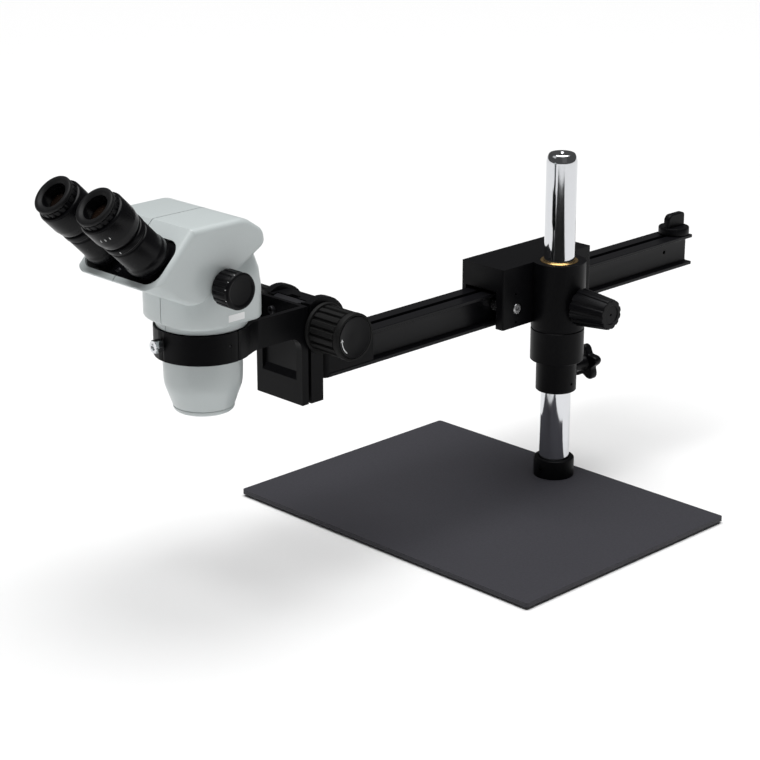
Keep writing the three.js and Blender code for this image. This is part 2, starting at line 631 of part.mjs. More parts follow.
function headArm() {
  const a = ARM;
  const width = [-a.half, a.half];
  const ring = ringZ([[RING.inner - 1, RING.bottom], [RING.outer, RING.bottom], [RING.outer, RING.top],
    [RING.inner - 1, RING.top]]);
  const wall = block(width, [a.wallFront, a.plateBack], [a.wallBottom, RING.top]);
  const plate = block(width, [a.plateFront, a.plateBack], [a.plateBottom, RING.bottom + 1]);
  const pocket = sweepX(outline([[a.plateFront - 1, a.pocketFoot - 2], [a.plateFront, a.pocketFoot],
    [a.wallFront, a.pocketFloor], [a.wallFront, RING.top + PAST], [a.plateFront - 1, RING.top + PAST]]),
    [-a.pocketHalf, a.pocketHalf]);
  const bore = rodZ(RING.inner, [RING.bottom - PAST, RING.top + PAST], SIDES.large);
  const thumbHole = rodY(THUMB.hole, [-RING.outer - PAST, -RING.inner + PAST], 0, THUMB.z)
    .rotateZ(THREE.MathUtils.degToRad(THUMB.angle));
  const grubHole = rodX(1.4, [RING.outer - 2.5, RING.outer + PAST], -4, THUMB.z + 1, SIDES.tiny);
  const screwHoles = [-1, 1].map((side) => rodY(SLIDE_SCREW.hole, [a.wallFront - PAST, a.plateBack + PAST],
    side * SLIDE_SCREW.x, SLIDE_SCREW.z, SIDES.tiny));
  const solid = join(ring, sideBar(1), sideBar(-1), wall, cut(plate, pocket), gusset(1), gusset(-1));
  return part('head_arm', cut(solid, bore, thumbHole, grubHole, ...screwHoles), PAINT_BLACK);
}

function slideScrew(name, side) {
  const { x, z, head, headLength, shank, tip } = SLIDE_SCREW;
  const seat = ARM.wallFront - FACE_GAP;
  const top = seat - headLength;
  const screw = join(rodY(head, [top, seat], 0, 0), rodY(shank, [seat - 1, tip], 0, 0, SIDES.tiny));
  const socket = rodY(1.8, [top - PAST, top + 2], 0, 0, 6);
  const mesh = part(name, cut(screw, socket), STEEL);
  mesh.position.set(side * x, 0, z);
  return mesh;
}

function ringThumbScrew() {
  const { angle, z, shank, head, inner, headFrom, headTo } = THUMB;
  const screw = join(rodY(shank, [-headFrom - 1, -inner], 0, 0), rodY(head, [-headTo, -headFrom], 0, 0, 6));
  const dimple = rodY(3.2, [-headTo - PAST, -headTo + 1.5], 0, 0, SIDES.small);
  const mesh = part('ring_thumb_screw', cut(screw, dimple), CHROME);
  mesh.position.set(0, 0, z);
  mesh.rotation.z = THREE.MathUtils.degToRad(angle);
  return mesh;
}

// ---- head -----------------------------------------------------------------

function nosepiece() {
  const n = NOSE;
  const profile = [[n.lensBore, n.bottom], [n.rim, n.bottom], [28.3, 181.4], [28.8, 184.5], [35.8, 204.5],
    [36.6, 212], [n.barrel, RING.bottom - 0.6], [n.seat, RING.bottom - 0.2], [n.seat, n.seatTop - 0.5],
    [BODY.bore - 0.4, n.seatTop], [BODY.bore - 0.4, n.top], [n.bore, n.top], [n.bore, 212], [n.lensBore, 190]];
  return part('nosepiece', ringZ(profile), PAINT_WHITE);
}

function objectiveLens() {
  const radius = NOSE.lensBore - 0.4;
  const profile = [[0, 181.8], [12, 182.4], [radius, 184.2], [radius, 187.6], [14, 189.2], [0, 189.8]];
  return part('objective_lens', turnZ(profile, SIDES.medium), GLASS);
}

function zoomCarriage() {
  const { radius, bottom, top, channel, channelX } = CARRIAGE;
  const disc = rodZ(radius, [bottom, top], SIDES.medium);
  const bores = [-1, 1].map((side) => rodZ(channel, [bottom - 1, top + 1]).translate(side * channelX, 0, 0));
  return part('zoom_carriage', cut(disc, ...bores), ANODISED);
}

// Side view of the upper housing as [y, z], anticlockwise from the foot of the bezel.
const HOUSING_SIDE = [
  [BEZEL.footY, BEZEL.footZ], [-60, 301.5], [-52, 299.8], [-42, 300.2], [14, 330.5], [27, 338.5],
  [30.5, 345], [27.5, 353.5], [12, 364.5], [-4, 369], [-52.7, 369],
];

function upperHousing(inset) {
  const half = HOUSING.half - inset;
  const bevel = HOUSING.bevel;
  const shape = outline(insetConvex(HOUSING_SIDE, inset));
  const options = {
    depth: 2 * (half - bevel), bevelEnabled: true, bevelThickness: bevel, bevelSize: bevel,
    bevelOffset: -bevel, bevelSegments: 2, curveSegments: 1,
  };
  return new THREE.ExtrudeGeometry(shape, options).translate(0, 0, -half + bevel).applyMatrix4(ALONG_X);
}

// Plan of the middle body: a full curve at the front and rounded corners at the rear.
function bodyPlan(inset) {
  const half = BODY.half - inset;
  const [front, rear] = [BODY.front - inset, BODY.rear - inset];
  const corner = BODY.corner - inset;
  const shape = new THREE.Shape();
  shape.moveTo(half, 0);
  shape.lineTo(half, rear - corner);
  shape.absarc(half - corner, rear - corner, corner, 0, Math.PI / 2);
  shape.lineTo(-half + corner, rear);
  shape.absarc(-half + corner, rear - corner, corner, Math.PI / 2, Math.PI);
  const steps = 16;
  const power = 2 / BODY.roundness;
  for (let i = 0; i < steps; i += 1) {
    const angle = Math.PI * (1 + i / steps);
    const across = Math.sign(Math.cos(angle)) * Math.abs(Math.cos(angle)) ** power;
    const along = -(Math.abs(Math.sin(angle)) ** power);
    shape.lineTo(half * across, front * along);
  }
  return shape;
}

function middleBody(inset) {
  const { front, rear, bottom, top, chamfer, shoulderZ } = BODY;
  const [low, high] = [bottom + inset, top - inset];
  const [foremost, rearmost] = [-front + inset, rear - inset];
  const side = outline([[foremost + chamfer, low], [rearmost - chamfer, low], [rearmost, low + chamfer],
    [rearmost, shoulderZ], [rearmost - 2.5, shoulderZ + 16], [rearmost - 9, high], [foremost, high],
    [foremost, low + chamfer]]);
  const reach = BODY.half + PAST;
  return common(sweepZ(bodyPlan(inset), [low, high]), sweepX(side, [-reach, reach]));
}

// Places what is drawn on the bezel plane; +Z there points out towards the user.
function ontoBezel(geometry) {
  const rise = BEZEL.centreUp * Math.SQRT1_2;
  return geometry.rotateX(THREE.MathUtils.degToRad(EYE.tilt)).translate(0, BEZEL.footY + rise, BEZEL.footZ + rise);
}

// The housing seen along the eye tubes: its bezel has rounded lower corners.
function lipOutline(inset) {
  const { lipCorner, lipReach, centreUp } = BEZEL;
  const shape = roundedRectangle(2 * (HOUSING.half - inset), 2 * (lipReach - inset), lipCorner - inset);
  return ontoBezel(sweepZ(shape, [-2 * lipReach, PAST], 6).translate(0, lipReach - centreUp, 0));
}

function headCasing() {
  const { collar, collarBottom, bottom, bore } = BODY;
  const wall = HOUSING.wall;
  const skirt = rodZ(collar, [collarBottom, bottom + 1], SIDES.large);
  const mouth = rodZ(bore, [collarBottom - PAST, bottom + PAST], SIDES.large);
  const window = ontoBezel(sweepZ(roundedRectangle(BEZEL.width, BEZEL.height, BEZEL.corner), [-14, PAST]));
  const zoomHole = rodX(ZOOM.hub + 0.4, [-HOUSING.half - PAST, HOUSING.half + PAST], ZOOM.y, ZOOM.z);
  const outer = join(common(upperHousing(0), lipOutline(0)), middleBody(0), skirt);
  const hollow = common(upperHousing(wall), lipOutline(wall));
  return cut(outer, hollow, middleBody(wall), mouth, window, zoomHole);
}

function headShells() {
  const casing = headCasing();
  const near = HOUSING.splitGap;
  const far = HOUSING.half + PAST;
  const [depth, height] = [[-150, 100], [200, 400]];
  return [
    part('head_shell_right', common(casing, block([near, far], depth, height)), PAINT_WHITE),
    part('head_shell_left', common(casing, block([-far, -near], depth, height)), PAINT_WHITE),
  ];
}

function eyepiecePanel() {
  const { top, thickness, gap } = PANEL;
  const shape = roundedRectangle(BEZEL.width - 2 * gap, BEZEL.height - 2 * gap, BEZEL.corner - gap);
  const plate = sweepZ(shape, [top - thickness, top]);
  const holes = [-1, 1].map((side) => rodZ(SWIVEL.radius + FIT_GAP, [top - thickness - 1, top + 1], SIDES.medium)
    .translate(side * (EYE.x + SWIVEL.outward), EYE.up - SWIVEL.down, 0));
  return part('eyepiece_panel', ontoBezel(cut(plate, ...holes)), PAINT_BLACK);
}

function zoomShaft() {
  const reach = ZOOM.to - 5;
  const shaft = rodX(ZOOM.shaft, [-reach, reach], 0, 0);
  const mesh = part('zoom_shaft', shaft, STEEL);
  mesh.position.set(0, ZOOM.y, ZOOM.z);
  return mesh;
}

function zoomKnob(name, side) {
  const { from, to, radius, valley, ribs, shaft, hub, hubFrom } = ZOOM;
  const grip = sweepX(ribbedCircle(ribs, radius, valley), [from, to - 2]);
  const face = turnX([[0, to - 3], [radius - 0.4, to - 3], [radius - 0.4, to - 1], [radius - 1.4, to], [0, to]]);
  const neck = rodX(hub, [hubFrom, from + 1], 0, 0);
  const hole = rodX(shaft + FIT_GAP, [hubFrom - PAST, to - 4.5], 0, 0);
  const mesh = part(name, cut(join(grip, face, neck), hole), PLASTIC);
  mesh.position.set(0, ZOOM.y, ZOOM.z);
  mesh.rotation.z = side > 0 ? 0 : Math.PI;
  return mesh;
}

// ---- eyepieces ------------------------------------------------------------

function eyeTube(name, side) {
  const { outward, down, radius, flange, flangeTop, bottom, bore } = SWIVEL;
  const foot = 0.5;
  const sleeve = turnZ([[0, foot], [19.6, foot], [19.6, 3.5], [21, 5], [21, 10.5], [20.1, 13], [20.1, 34.6],
    [19, 35.6], [19, 37.6], [20.6, 38.4], [20.6, 43.2], [19, 44.2], [15.3, 44.2], [15.3, 4], [0, 4]], SIDES.medium);
  const disc = turnZ([[0, bottom], [flange, bottom], [flange, flangeTop], [radius, flangeTop], [radius, foot + 1],
    [0, foot + 1]], SIDES.medium).translate(side * outward, -down, 0);
  const lightPath = rodZ(bore, [bottom - 1, PAST], SIDES.medium).translate(side * outward, -down, 0);
  return part(name, cut(join(sleeve, disc), lightPath), PAINT_BLACK);
}

function eyepiece(name) {
  const profile = [[13, 12], [15, 12], [15, 44.4], [18.6, 44.4], [18.6, 45.6], [20.6, 46.6], [21.2, 50], [21.9, 54],
    [21.9, 72.5], [20.5, 74], [16.4, 74], [16.4, 80.5], [12.2, 80.5], [12.2, 70], [10, 68], [10, 20], [13, 18]];
  return part(name, ringZ(profile, SIDES.medium), PAINT_BLACK);
}

function diopterRing(name) {
  const { bottom, top, inner, outer, valley, ribs } = DIOPTER;
  const ring = sweepZ(ribbedCircle(ribs, outer, valley), [bottom, top]);
  return part(name, cut(ring, rodZ(inner, [bottom - 1, top + 1], SIDES.medium)), PLASTIC);
}

function eyecup(name) {
  const profile = [[16.7, 79.6], [19.2, 79.6], [19.3, 81.5], [18.4, 83.8], [14.2, 83.8], [12.4, 82.6], [12.4, 80.8],
    [16.7, 80.8]];
  return part(name, ringZ(profile, SIDES.medium), RUBBER);
}

function eyeLens(name) {
  const profile = [[0, 70.6], [11.9, 72.2], [11.9, 74.5], [6, 76], [0, 76.4]];
  return part(name, turnZ(profile, SIDES.medium), GLASS);
}

function eyepieceGroup(suffix, side) {
  const along = (BEZEL.centreUp + EYE.up) * Math.SQRT1_2;
  const holder = group(side * EYE.x, BEZEL.footY + along, BEZEL.footZ + along,
    eyeTube(`eyetube_${suffix}`, side), eyepiece(`eyepiece_${suffix}`), diopterRing(`diopter_ring_${suffix}`),
    eyecup(`eyecup_${suffix}`), eyeLens(`eye_lens_${suffix}`));
  holder.rotation.x = THREE.MathUtils.degToRad(EYE.tilt);
  return holder;
}

// ---- assembly -------------------------------------------------------------

const feet = [[1, 1], [-1, 1], [-1, -1], [1, -1]]
  .map(([x, y], i) => rubberFoot(`rubber_foot_${i + 1}`, x * FOOT.x, y * FOOT.y));

const column = group(0, POST.y, 0, postSocket(), post(), postBolt(), supportCollar(), thrustWasher(),
  collarStarKnob(), collarStud(), carrierCasting(), bush('upper_bush', CARRIER.top + BUSH.proud - BUSH.length),
  bush('lower_bush', CARRIER.bottom + 0.2), ...carrierRollers(), clampKnob(), clampStud());

const boomStop = group(0, STOP.y, 0, stopBolt(), stopKnob());
const boom = group(BOOM.x, 0, BOOM.z, boomRail(), boomEnd(), boomStop);

const focusMount = group(BOOM.x, 0, 0, focusBody(), pinionShaft(), focusKnob('focus_knob_right', 1),
  focusKnob('focus_knob_left', -1), knobCap('knob_cap_right', 1), knobCap('knob_cap_left', -1),
  dovetailSlide(), focusRack());

const head = group(HEAD.x, HEAD.y, 0, headArm(), slideScrew('slide_screw_right', 1), slideScrew('slide_screw_left', -1),
  ringThumbScrew(), nosepiece(), objectiveLens(), zoomCarriage(), ...headShells(), eyepiecePanel(), zoomShaft(),
  zoomKnob('zoom_knob_right', 1), zoomKnob('zoom_knob_left', -1), eyepieceGroup('right', 1), eyepieceGroup('left', -1));

const microscope = group(0, FOOTPRINT_SHIFT, FOOT.height, basePlate(), ...feet, column, boom, focusMount, head);

export default microscope;
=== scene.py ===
"""Stereo microscope on a sliding boom stand: the detailed visual model.

Lengths in the tables below are millimetres. They are measured from the middle
of the base plate's underside, along +X to the user's right, +Y along the boom
away from the user, and +Z up.
"""

import math

import bmesh
import bpy
from bpy.props import FloatProperty, FloatVectorProperty, IntProperty, PointerProperty
from mathutils import Matrix, Vector


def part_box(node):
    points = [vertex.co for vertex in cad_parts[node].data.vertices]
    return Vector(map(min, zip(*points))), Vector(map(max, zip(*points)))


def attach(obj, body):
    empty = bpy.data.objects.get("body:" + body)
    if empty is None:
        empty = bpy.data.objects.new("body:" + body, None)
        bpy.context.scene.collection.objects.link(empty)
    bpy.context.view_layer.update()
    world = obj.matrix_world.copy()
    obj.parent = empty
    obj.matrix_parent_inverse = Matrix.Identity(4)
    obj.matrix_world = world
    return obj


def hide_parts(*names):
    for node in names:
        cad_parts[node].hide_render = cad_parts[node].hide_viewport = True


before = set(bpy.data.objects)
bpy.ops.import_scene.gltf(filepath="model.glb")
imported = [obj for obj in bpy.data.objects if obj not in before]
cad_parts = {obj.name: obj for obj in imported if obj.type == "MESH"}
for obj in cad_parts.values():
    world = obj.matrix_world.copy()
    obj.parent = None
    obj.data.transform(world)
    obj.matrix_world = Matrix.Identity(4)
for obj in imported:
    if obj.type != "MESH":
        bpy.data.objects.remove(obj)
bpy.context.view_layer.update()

bl_info = {
    "name": "Stereo Microscope",
    "version": (1, 0, 0),
    "blender": (4, 5, 0),
    "location": "View3D > Sidebar > Microscope",
    "description": "Builds a stereo microscope on a sliding boom stand",
    "category": "Object",
}

MM = 0.001
SIDES = (("right", 1), ("left", -1))

# ---- datums ---------------------------------------------------------------


def datum():
    """Middle of the base plate's underside, in metres."""
    low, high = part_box("base_plate")
    return Vector(((low.x + high.x) / 2, (low.y + high.y) / 2, low.z))


DATUM = datum()
X, Y, Z = Vector((1, 0, 0)), Vector((0, 1, 0)), Vector((0, 0, 1))
POST_Y = 117.0
STAR_KNOB_Z, COLLAR_SCREW_Z, CLAMP_Z = 120.0, 111.0, 198.0
AXLES = (("front", 67.5, 196.9), ("rear", 163.0, 194.2))
RAIL_X, RAIL_Z = -48.0, 195.5
HEAD_X, HEAD_Y = -48.0, -325.0
PINION = (-48.0, -204.5, 237.2)
RING_SCREW_Z = 249.0
GROOVE_ANGLES = (7, -93)
THUMB_ANGLE = -5
HEAD_HALF = 56.0
ZOOM = (HEAD_X, HEAD_Y - 19.5, 311.5)
BEZEL = (-48.0, -404.5, 342.2)
EYE_OFFSET = 29.1
TUBE_OUT = Vector((0, -math.sqrt(0.5), math.sqrt(0.5)))
UPSLOPE = Vector((0, math.sqrt(0.5), math.sqrt(0.5)))


def at(x, y, z):
    return DATUM + Vector((x, y, z)) * MM


class Axes:
    """A place and three directions. Outlines are drawn in u and v, and swept along w."""

    def __init__(self, origin, u, v, w):
        self.origin = origin
        self.u = u
        self.v = v
        self.w = w

    def point(self, u, v, w):
        return self.origin + (self.u * u + self.v * v + self.w * w) * MM


def axes_z(x, y, z):
    return Axes(at(x, y, z), X, Y, Z)


def axes_x(x, y, z, side=1):
    return Axes(at(x, y, z), Y * side, Z, X * side)


def axes_y(x, y, z, side=1):
    return Axes(at(x, y, z), -X * side, Z, Y * side)


def post_axes():
    return axes_z(0, POST_Y, 0)


def head_axes():
    return axes_z(HEAD_X, HEAD_Y, 0)


def bezel_axes():
    return Axes(at(*BEZEL), X, UPSLOPE, TUBE_OUT)


def axes_tube(side):
    return Axes(bezel_axes().point(side * EYE_OFFSET, 0.3, 0), X * side, UPSLOPE, TUBE_OUT)


# ---- mesh making ----------------------------------------------------------


def circle(radius, sides):
    step = 2 * math.pi / sides
    return [(radius * math.cos(i * step), radius * math.sin(i * step)) for i in range(sides)]


def revolve(axes, profile, sides=96, closed=False):
    """A turned body. Profile points are (radius, height along w)."""
    bm = bmesh.new()
    rings = []
    for radius, height in profile:
        if radius < 1e-6:
            rings.append([bm.verts.new(axes.point(0, 0, height))])
        else:
            rings.append([bm.verts.new(axes.point(u, v, height)) for u, v in circle(radius, sides)])
    pairs = list(zip(rings, rings[1:]))
    if closed:
        pairs.append((rings[-1], rings[0]))
    for near, far in pairs:
        for i in range(sides):
            j = (i + 1) % sides
            corners = [near[i % len(near)], near[j % len(near)], far[j % len(far)], far[i % len(far)]]
            distinct = list(dict.fromkeys(corners))
            if len(distinct) > 2:
                bm.faces.new(distinct)
    return tidy(bm)


def loft(axes, stations, capped=True):
    """A body through outlines. Each station is (height, outline), with as many points as the rest."""
    bm = bmesh.new()
    rings = [[bm.verts.new(axes.point(u, v, height)) for u, v in outline] for height, outline in stations]
    for near, far in zip(rings, rings[1:]):
        for i in range(len(near)):
            j = (i + 1) % len(near)
            bm.faces.new((near[i], near[j], far[j], far[i]))
    if capped:
        bm.faces.new(rings[0])
        bm.faces.new(rings[-1])
    return tidy(bm)


def sweep(axes, outline, low, high):
    return loft(axes, [(low, outline), (high, outline)])


def tidy(bm):
    bmesh.ops.remove_doubles(bm, verts=bm.verts, dist=1e-7)
    bmesh.ops.recalc_face_normals(bm, faces=bm.faces)
    return bm


def gather(*meshes):
    """Several loose bodies in one mesh."""
    whole = bmesh.new()
    for bm in meshes:
        mesh = bpy.data.meshes.new("loose")
        bm.to_mesh(mesh)
        whole.from_mesh(mesh)
        bpy.data.meshes.remove(mesh)
        bm.free()
    return whole


def scratch_object(bm):
    mesh = bpy.data.meshes.new("scratch")
    bm.to_mesh(mesh)
    bm.free()
    obj = bpy.data.objects.new("scratch", mesh)
    bpy.context.scene.collection.objects.link(obj)
    return obj


def combine(body, others, operation):
    """The union, difference or intersection of solid meshes."""
    target = scratch_object(body)
    tools = [scratch_object(other) for other in others]
    for tool in tools:
        step = target.modifiers.new("join", "BOOLEAN")
        step.operation = operation
        step.solver = "EXACT"
        step.object = tool
    graph = bpy.context.evaluated_depsgraph_get()
    result = bmesh.new()
    shaped = target.evaluated_get(graph).to_mesh()
    result.from_mesh(shaped)
    target.evaluated_get(graph).to_mesh_clear()
    for obj in [target, *tools]:
        mesh = obj.data
        bpy.data.objects.remove(obj)
        bpy.data.meshes.remove(mesh)
    if not result.faces:
        raise RuntimeError("a boolean left nothing")
    bmesh.ops.dissolve_limit(result, angle_limit=math.radians(0.4), verts=result.verts, edges=result.edges)
    return result


def carve(body, *cutters):
    return combine(body, cutters, "DIFFERENCE")


def weld(body, *others):
    return combine(body, others, "UNION")


def from_frame(node):
    """The frame's own solid for a node, with its flat faces made whole."""
    bm = bmesh.new()
    bm.from_mesh(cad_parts[node].data)
    bmesh.ops.remove_doubles(bm, verts=bm.verts, dist=1e-6)
    bmesh.ops.dissolve_limit(bm, angle_limit=math.radians(0.3), verts=bm.verts, edges=bm.edges)
    return bm


def place(name, bm, body, finish, stands_for=(), edge=0.0, sharp=32, rounds=2):
    """Turns a mesh into a finished piece that rides on a body."""
    mesh = bpy.data.meshes.new(name)
    bm.to_mesh(mesh)
    bm.free()
    for polygon in mesh.polygons:
        polygon.use_smooth = True
    mesh.set_sharp_from_angle(angle=math.radians(sharp))
    mesh.materials.append(MATERIALS[finish])
    piece = bpy.data.objects.new(name, mesh)
    bpy.context.scene.collection.objects.link(piece)
    if edge:
        rounding = piece.modifiers.new("edge rounding", "BEVEL")
        rounding.width = edge * MM
        rounding.segments = rounds
        rounding.limit_method = "ANGLE"
        rounding.angle_limit = math.radians(sharp)
        rounding.harden_normals = True
        rounding.use_clamp_overlap = True
    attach(piece, body)
    if stands_for:
        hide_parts(*stands_for)
    return piece


def refinish(node, finish):
    """Gives one of the frame's own solids a finish, and leaves its shape alone."""
    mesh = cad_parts[node].data
    mesh.materials.clear()
    mesh.materials.append(MATERIALS[finish])


def index_mark(axes, reach, angle, half_width, span):
    """A short printed line on a round surface. The reach and the span are each low and high."""
    low, high = reach
    turn = math.radians(angle)
    cos, sin = math.cos(turn), math.sin(turn)
    corners = ((low, -half_width), (high, -half_width), (high, half_width), (low, half_width))
    outline = [(cos * along - sin * across, sin * along + cos * across) for along, across in corners]
    return sweep(axes, outline, *span)


# ---- outlines -------------------------------------------------------------


def arc(cu, cv, radius, start, end, steps=8):
    """Points along an arc, angles in degrees."""
    points = []
    for i in range(steps + 1):
        angle = math.radians(start + (end - start) * i / steps)
        points.append((cu + radius * math.cos(angle), cv + radius * math.sin(angle)))
    return points


def rounded_box(width, height, radius, steps=8):
    u, v = width / 2 - radius, height / 2 - radius
    return (
        arc(u, v, radius, 0, 90, steps)
        + arc(-u, v, radius, 90, 180, steps)
        + arc(-u, -v, radius, 180, 270, steps)
        + arc(u, -v, radius, 270, 360, steps)
    )


def grip(ribs, tip, valley, share=0.55, steps=14):
    """A ribbed round outline. The share is how much of each pitch its rib takes."""
    points = []
    for i in range(ribs * steps):
        phase = (i / steps) % 1
        climb = min(1, max(0, 0.5 + (share / 2 - abs(phase - 0.5)) * 7))
        radius = valley + (tip - valley) * climb * climb * (3 - 2 * climb)
        angle = 2 * math.pi * i / (ribs * steps)
        points.append((radius * math.cos(angle), radius * math.sin(angle)))
    return points


def star(lobes, mean, swing, steps=96):
    points = []
    for i in range(steps):
        angle = 2 * math.pi * i / steps
        radius = mean + swing * math.cos(lobes * (angle - math.pi / 2))
        points.append((radius * math.cos(angle), radius * math.sin(angle)))
    return points


def scaled(outline, factor):
    return [(u * factor, v * factor) for u, v in outline]


def trimmed(outline, limit):
    """An outline held inside a circle."""
    points = []
    for u, v in outline:
        reach = math.hypot(u, v)
        shrink = min(1, limit / reach)
        points.append((u * shrink, v * shrink))
    return points


# ---- node groups ----------------------------------------------------------


def new_group(name, inputs, outputs):
    group = bpy.data.node_groups.new(name, "ShaderNodeTree")
    for label, default in inputs:
        socket = group.interface.new_socket(label, in_out="INPUT", socket_type="NodeSocketFloat")
        socket.default_value = default
    for label in outputs:
        group.interface.new_socket(label, in_out="OUTPUT", socket_type="NodeSocketFloat")
    return group, group.nodes.new("NodeGroupInput"), group.nodes.new("NodeGroupOutput")


def math_node(tree, operation, first, second):
    node = tree.nodes.new("ShaderNodeMath")
    node.operation = operation
    for socket, value in zip(node.inputs, (first, second)):
        if isinstance(value, (int, float)):
            socket.default_value = value
        else:
            tree.links.new(value, socket)
    return node.outputs[0]


def noise_node(tree, scale, detail=3.0, rough=0.5, vector=None):
    node = tree.nodes.new("ShaderNodeTexNoise")
    node.inputs["Detail"].default_value = detail
    node.inputs["Roughness"].default_value = rough
    if isinstance(scale, (int, float)):
        node.inputs["Scale"].default_value = scale
    else:
        tree.links.new(scale, node.inputs["Scale"])
    if vector is None:
        vector = tree.nodes.new("ShaderNodeTexCoord").outputs["Object"]
    tree.links.new(vector, node.inputs["Vector"])
    return node.outputs["Fac"]


def grain_group():
    """Moulded or sprayed texture: a height for bump, and a mask of its high spots."""
    inputs = [("Scale", 2000.0), ("Contrast", 1.0)]
    group, entry, leave = new_group("Surface Grain", inputs, ["Height", "Peaks"])
    fine = noise_node(group, entry.outputs["Scale"], 4.0, 0.6)
    broad = noise_node(group, math_node(group, "MULTIPLY", entry.outputs["Scale"], 0.3), 2.0, 0.5)
    mixed = math_node(group, "ADD", fine, math_node(group, "MULTIPLY", broad, 0.6))
    height = math_node(group, "MULTIPLY", mixed, entry.outputs["Contrast"])
    peaks = math_node(group, "MULTIPLY", math_node(group, "SUBTRACT", mixed, 0.75), 3.0)
    group.links.new(height, leave.inputs["Height"])
    group.links.new(math_node(group, "MAXIMUM", peaks, 0.0), leave.inputs["Peaks"])
    return group


def handling_group():
    """Faint wiping marks and dust that change how shiny a surface is."""
    inputs = [("Base", 0.4), ("Spread", 0.1), ("Scale", 14.0)]
    group, entry, leave = new_group("Handling Marks", inputs, ["Roughness", "Dust"])
    cloud = noise_node(group, entry.outputs["Scale"], 6.0, 0.62)
    swing = math_node(group, "MULTIPLY", math_node(group, "SUBTRACT", cloud, 0.5), entry.outputs["Spread"])
    rough = math_node(group, "ADD", entry.outputs["Base"], math_node(group, "MULTIPLY", swing, 2.0))
    specks = noise_node(group, 620.0, 2.0, 0.7)
    dust = math_node(group, "MULTIPLY", math_node(group, "SUBTRACT", specks, 0.68), 8.0)
    group.links.new(math_node(group, "MAXIMUM", rough, 0.02), leave.inputs["Roughness"])
    dust = math_node(group, "MINIMUM", math_node(group, "MAXIMUM", dust, 0.0), 1.0)
    group.links.new(dust, leave.inputs["Dust"])
    return group


def machining_group():
    """Fine lines left by a tool or a drawing die, stretched along one direction."""
    inputs = [("Across X", 900.0), ("Across Y", 900.0), ("Across Z", 900.0)]
    group, entry, leave = new_group("Machining Lines", inputs, ["Height"])
    mapping = group.nodes.new("ShaderNodeMapping")
    combine_scale = group.nodes.new("ShaderNodeCombineXYZ")
    for label, socket in (("Across X", "X"), ("Across Y", "Y"), ("Across Z", "Z")):
        group.links.new(entry.outputs[label], combine_scale.inputs[socket])
    group.links.new(group.nodes.new("ShaderNodeTexCoord").outputs["Object"], mapping.inputs["Vector"])
    group.links.new(combine_scale.outputs[0], mapping.inputs["Scale"])
    group.links.new(noise_node(group, 1.0, 3.0, 0.6, mapping.outputs[0]), leave.inputs["Height"])
    return group


def use_group(tree, name, **values):
    node = tree.nodes.new("ShaderNodeGroup")
    node.node_tree = bpy.data.node_groups[name]
    for label, value in values.items():
        node.inputs[label.replace("_", " ")].default_value = value
    return node


# ---- materials ------------------------------------------------------------


def surface(name, color, roughness, spread=0.06, metallic=0.0, grain=0.0, grain_scale=2500.0, dust=0.0,
            tone=0.0, coat=0.0, coat_roughness=0.1, lines=None, line_depth=0.0, specular=0.5):
    """A procedural finish: colour that varies, handling marks, grain and machining lines."""
    material = bpy.data.materials.new(name)
    material.use_nodes = True
    tree = material.node_tree
    shader = tree.nodes["Principled BSDF"]
    shader.inputs["Metallic"].default_value = metallic
    shader.inputs["Coat Weight"].default_value = coat
    shader.inputs["Coat Roughness"].default_value = coat_roughness
    shader.inputs["Specular IOR Level"].default_value = specular
    marks = use_group(tree, "Handling Marks", Base=roughness, Spread=spread)
    tree.links.new(marks.outputs["Roughness"], shader.inputs["Roughness"])
    texture = use_group(tree, "Surface Grain", Scale=grain_scale)
    ramp = tree.nodes.new("ShaderNodeMix")
    ramp.data_type = "RGBA"
    shade = [max(0.0, c * (1 - tone)) for c in color]
    light = [min(1.0, c * (1 + tone)) for c in color]
    ramp.inputs[6].default_value = (*shade, 1)
    ramp.inputs[7].default_value = (*light, 1)
    tree.links.new(texture.outputs["Height"], ramp.inputs[0])
    dusty = tree.nodes.new("ShaderNodeMix")
    dusty.data_type = "RGBA"
    dusty.inputs[7].default_value = (0.55, 0.54, 0.52, 1)
    tree.links.new(ramp.outputs[2], dusty.inputs[6])
    tree.links.new(math_node(tree, "MULTIPLY", marks.outputs["Dust"], dust), dusty.inputs[0])
    tree.links.new(dusty.outputs[2], shader.inputs["Base Color"])
    height = texture.outputs["Height"]
    depth = grain
    if lines:
        drawn = use_group(tree, "Machining Lines", Across_X=lines[0], Across_Y=lines[1], Across_Z=lines[2])
        height = drawn.outputs["Height"]
        depth = line_depth
    bump = tree.nodes.new("ShaderNodeBump")
    bump.inputs["Strength"].default_value = 0.5
    bump.inputs["Distance"].default_value = depth * MM
    tree.links.new(height, bump.inputs["Height"])
    tree.links.new(bump.outputs["Normal"], shader.inputs["Normal"])
    return material


def coated_glass(name, near, far):
    """Optical glass whose coating tint varies in patches between two colours."""
    material = bpy.data.materials.new(name)
    material.use_nodes = True
    tree = material.node_tree
    shader = tree.nodes["Principled BSDF"]
    shader.inputs["Roughness"].default_value = 0.03
    shader.inputs["IOR"].default_value = 1.6
    shader.inputs["Transmission Weight"].default_value = 0.35
    shader.inputs["Coat Weight"].default_value = 1.0
    shader.inputs["Coat Roughness"].default_value = 0.02
    tint = tree.nodes.new("ShaderNodeMix")
    tint.data_type = "RGBA"
    tint.inputs[6].default_value = (*near, 1)
    tint.inputs[7].default_value = (*far, 1)
    cloud = noise_node(tree, 45.0, 1.0, 0.4)
    tree.links.new(cloud, tint.inputs[0])
    tree.links.new(tint.outputs[2], shader.inputs["Base Color"])
    return material


MATERIALS = {}


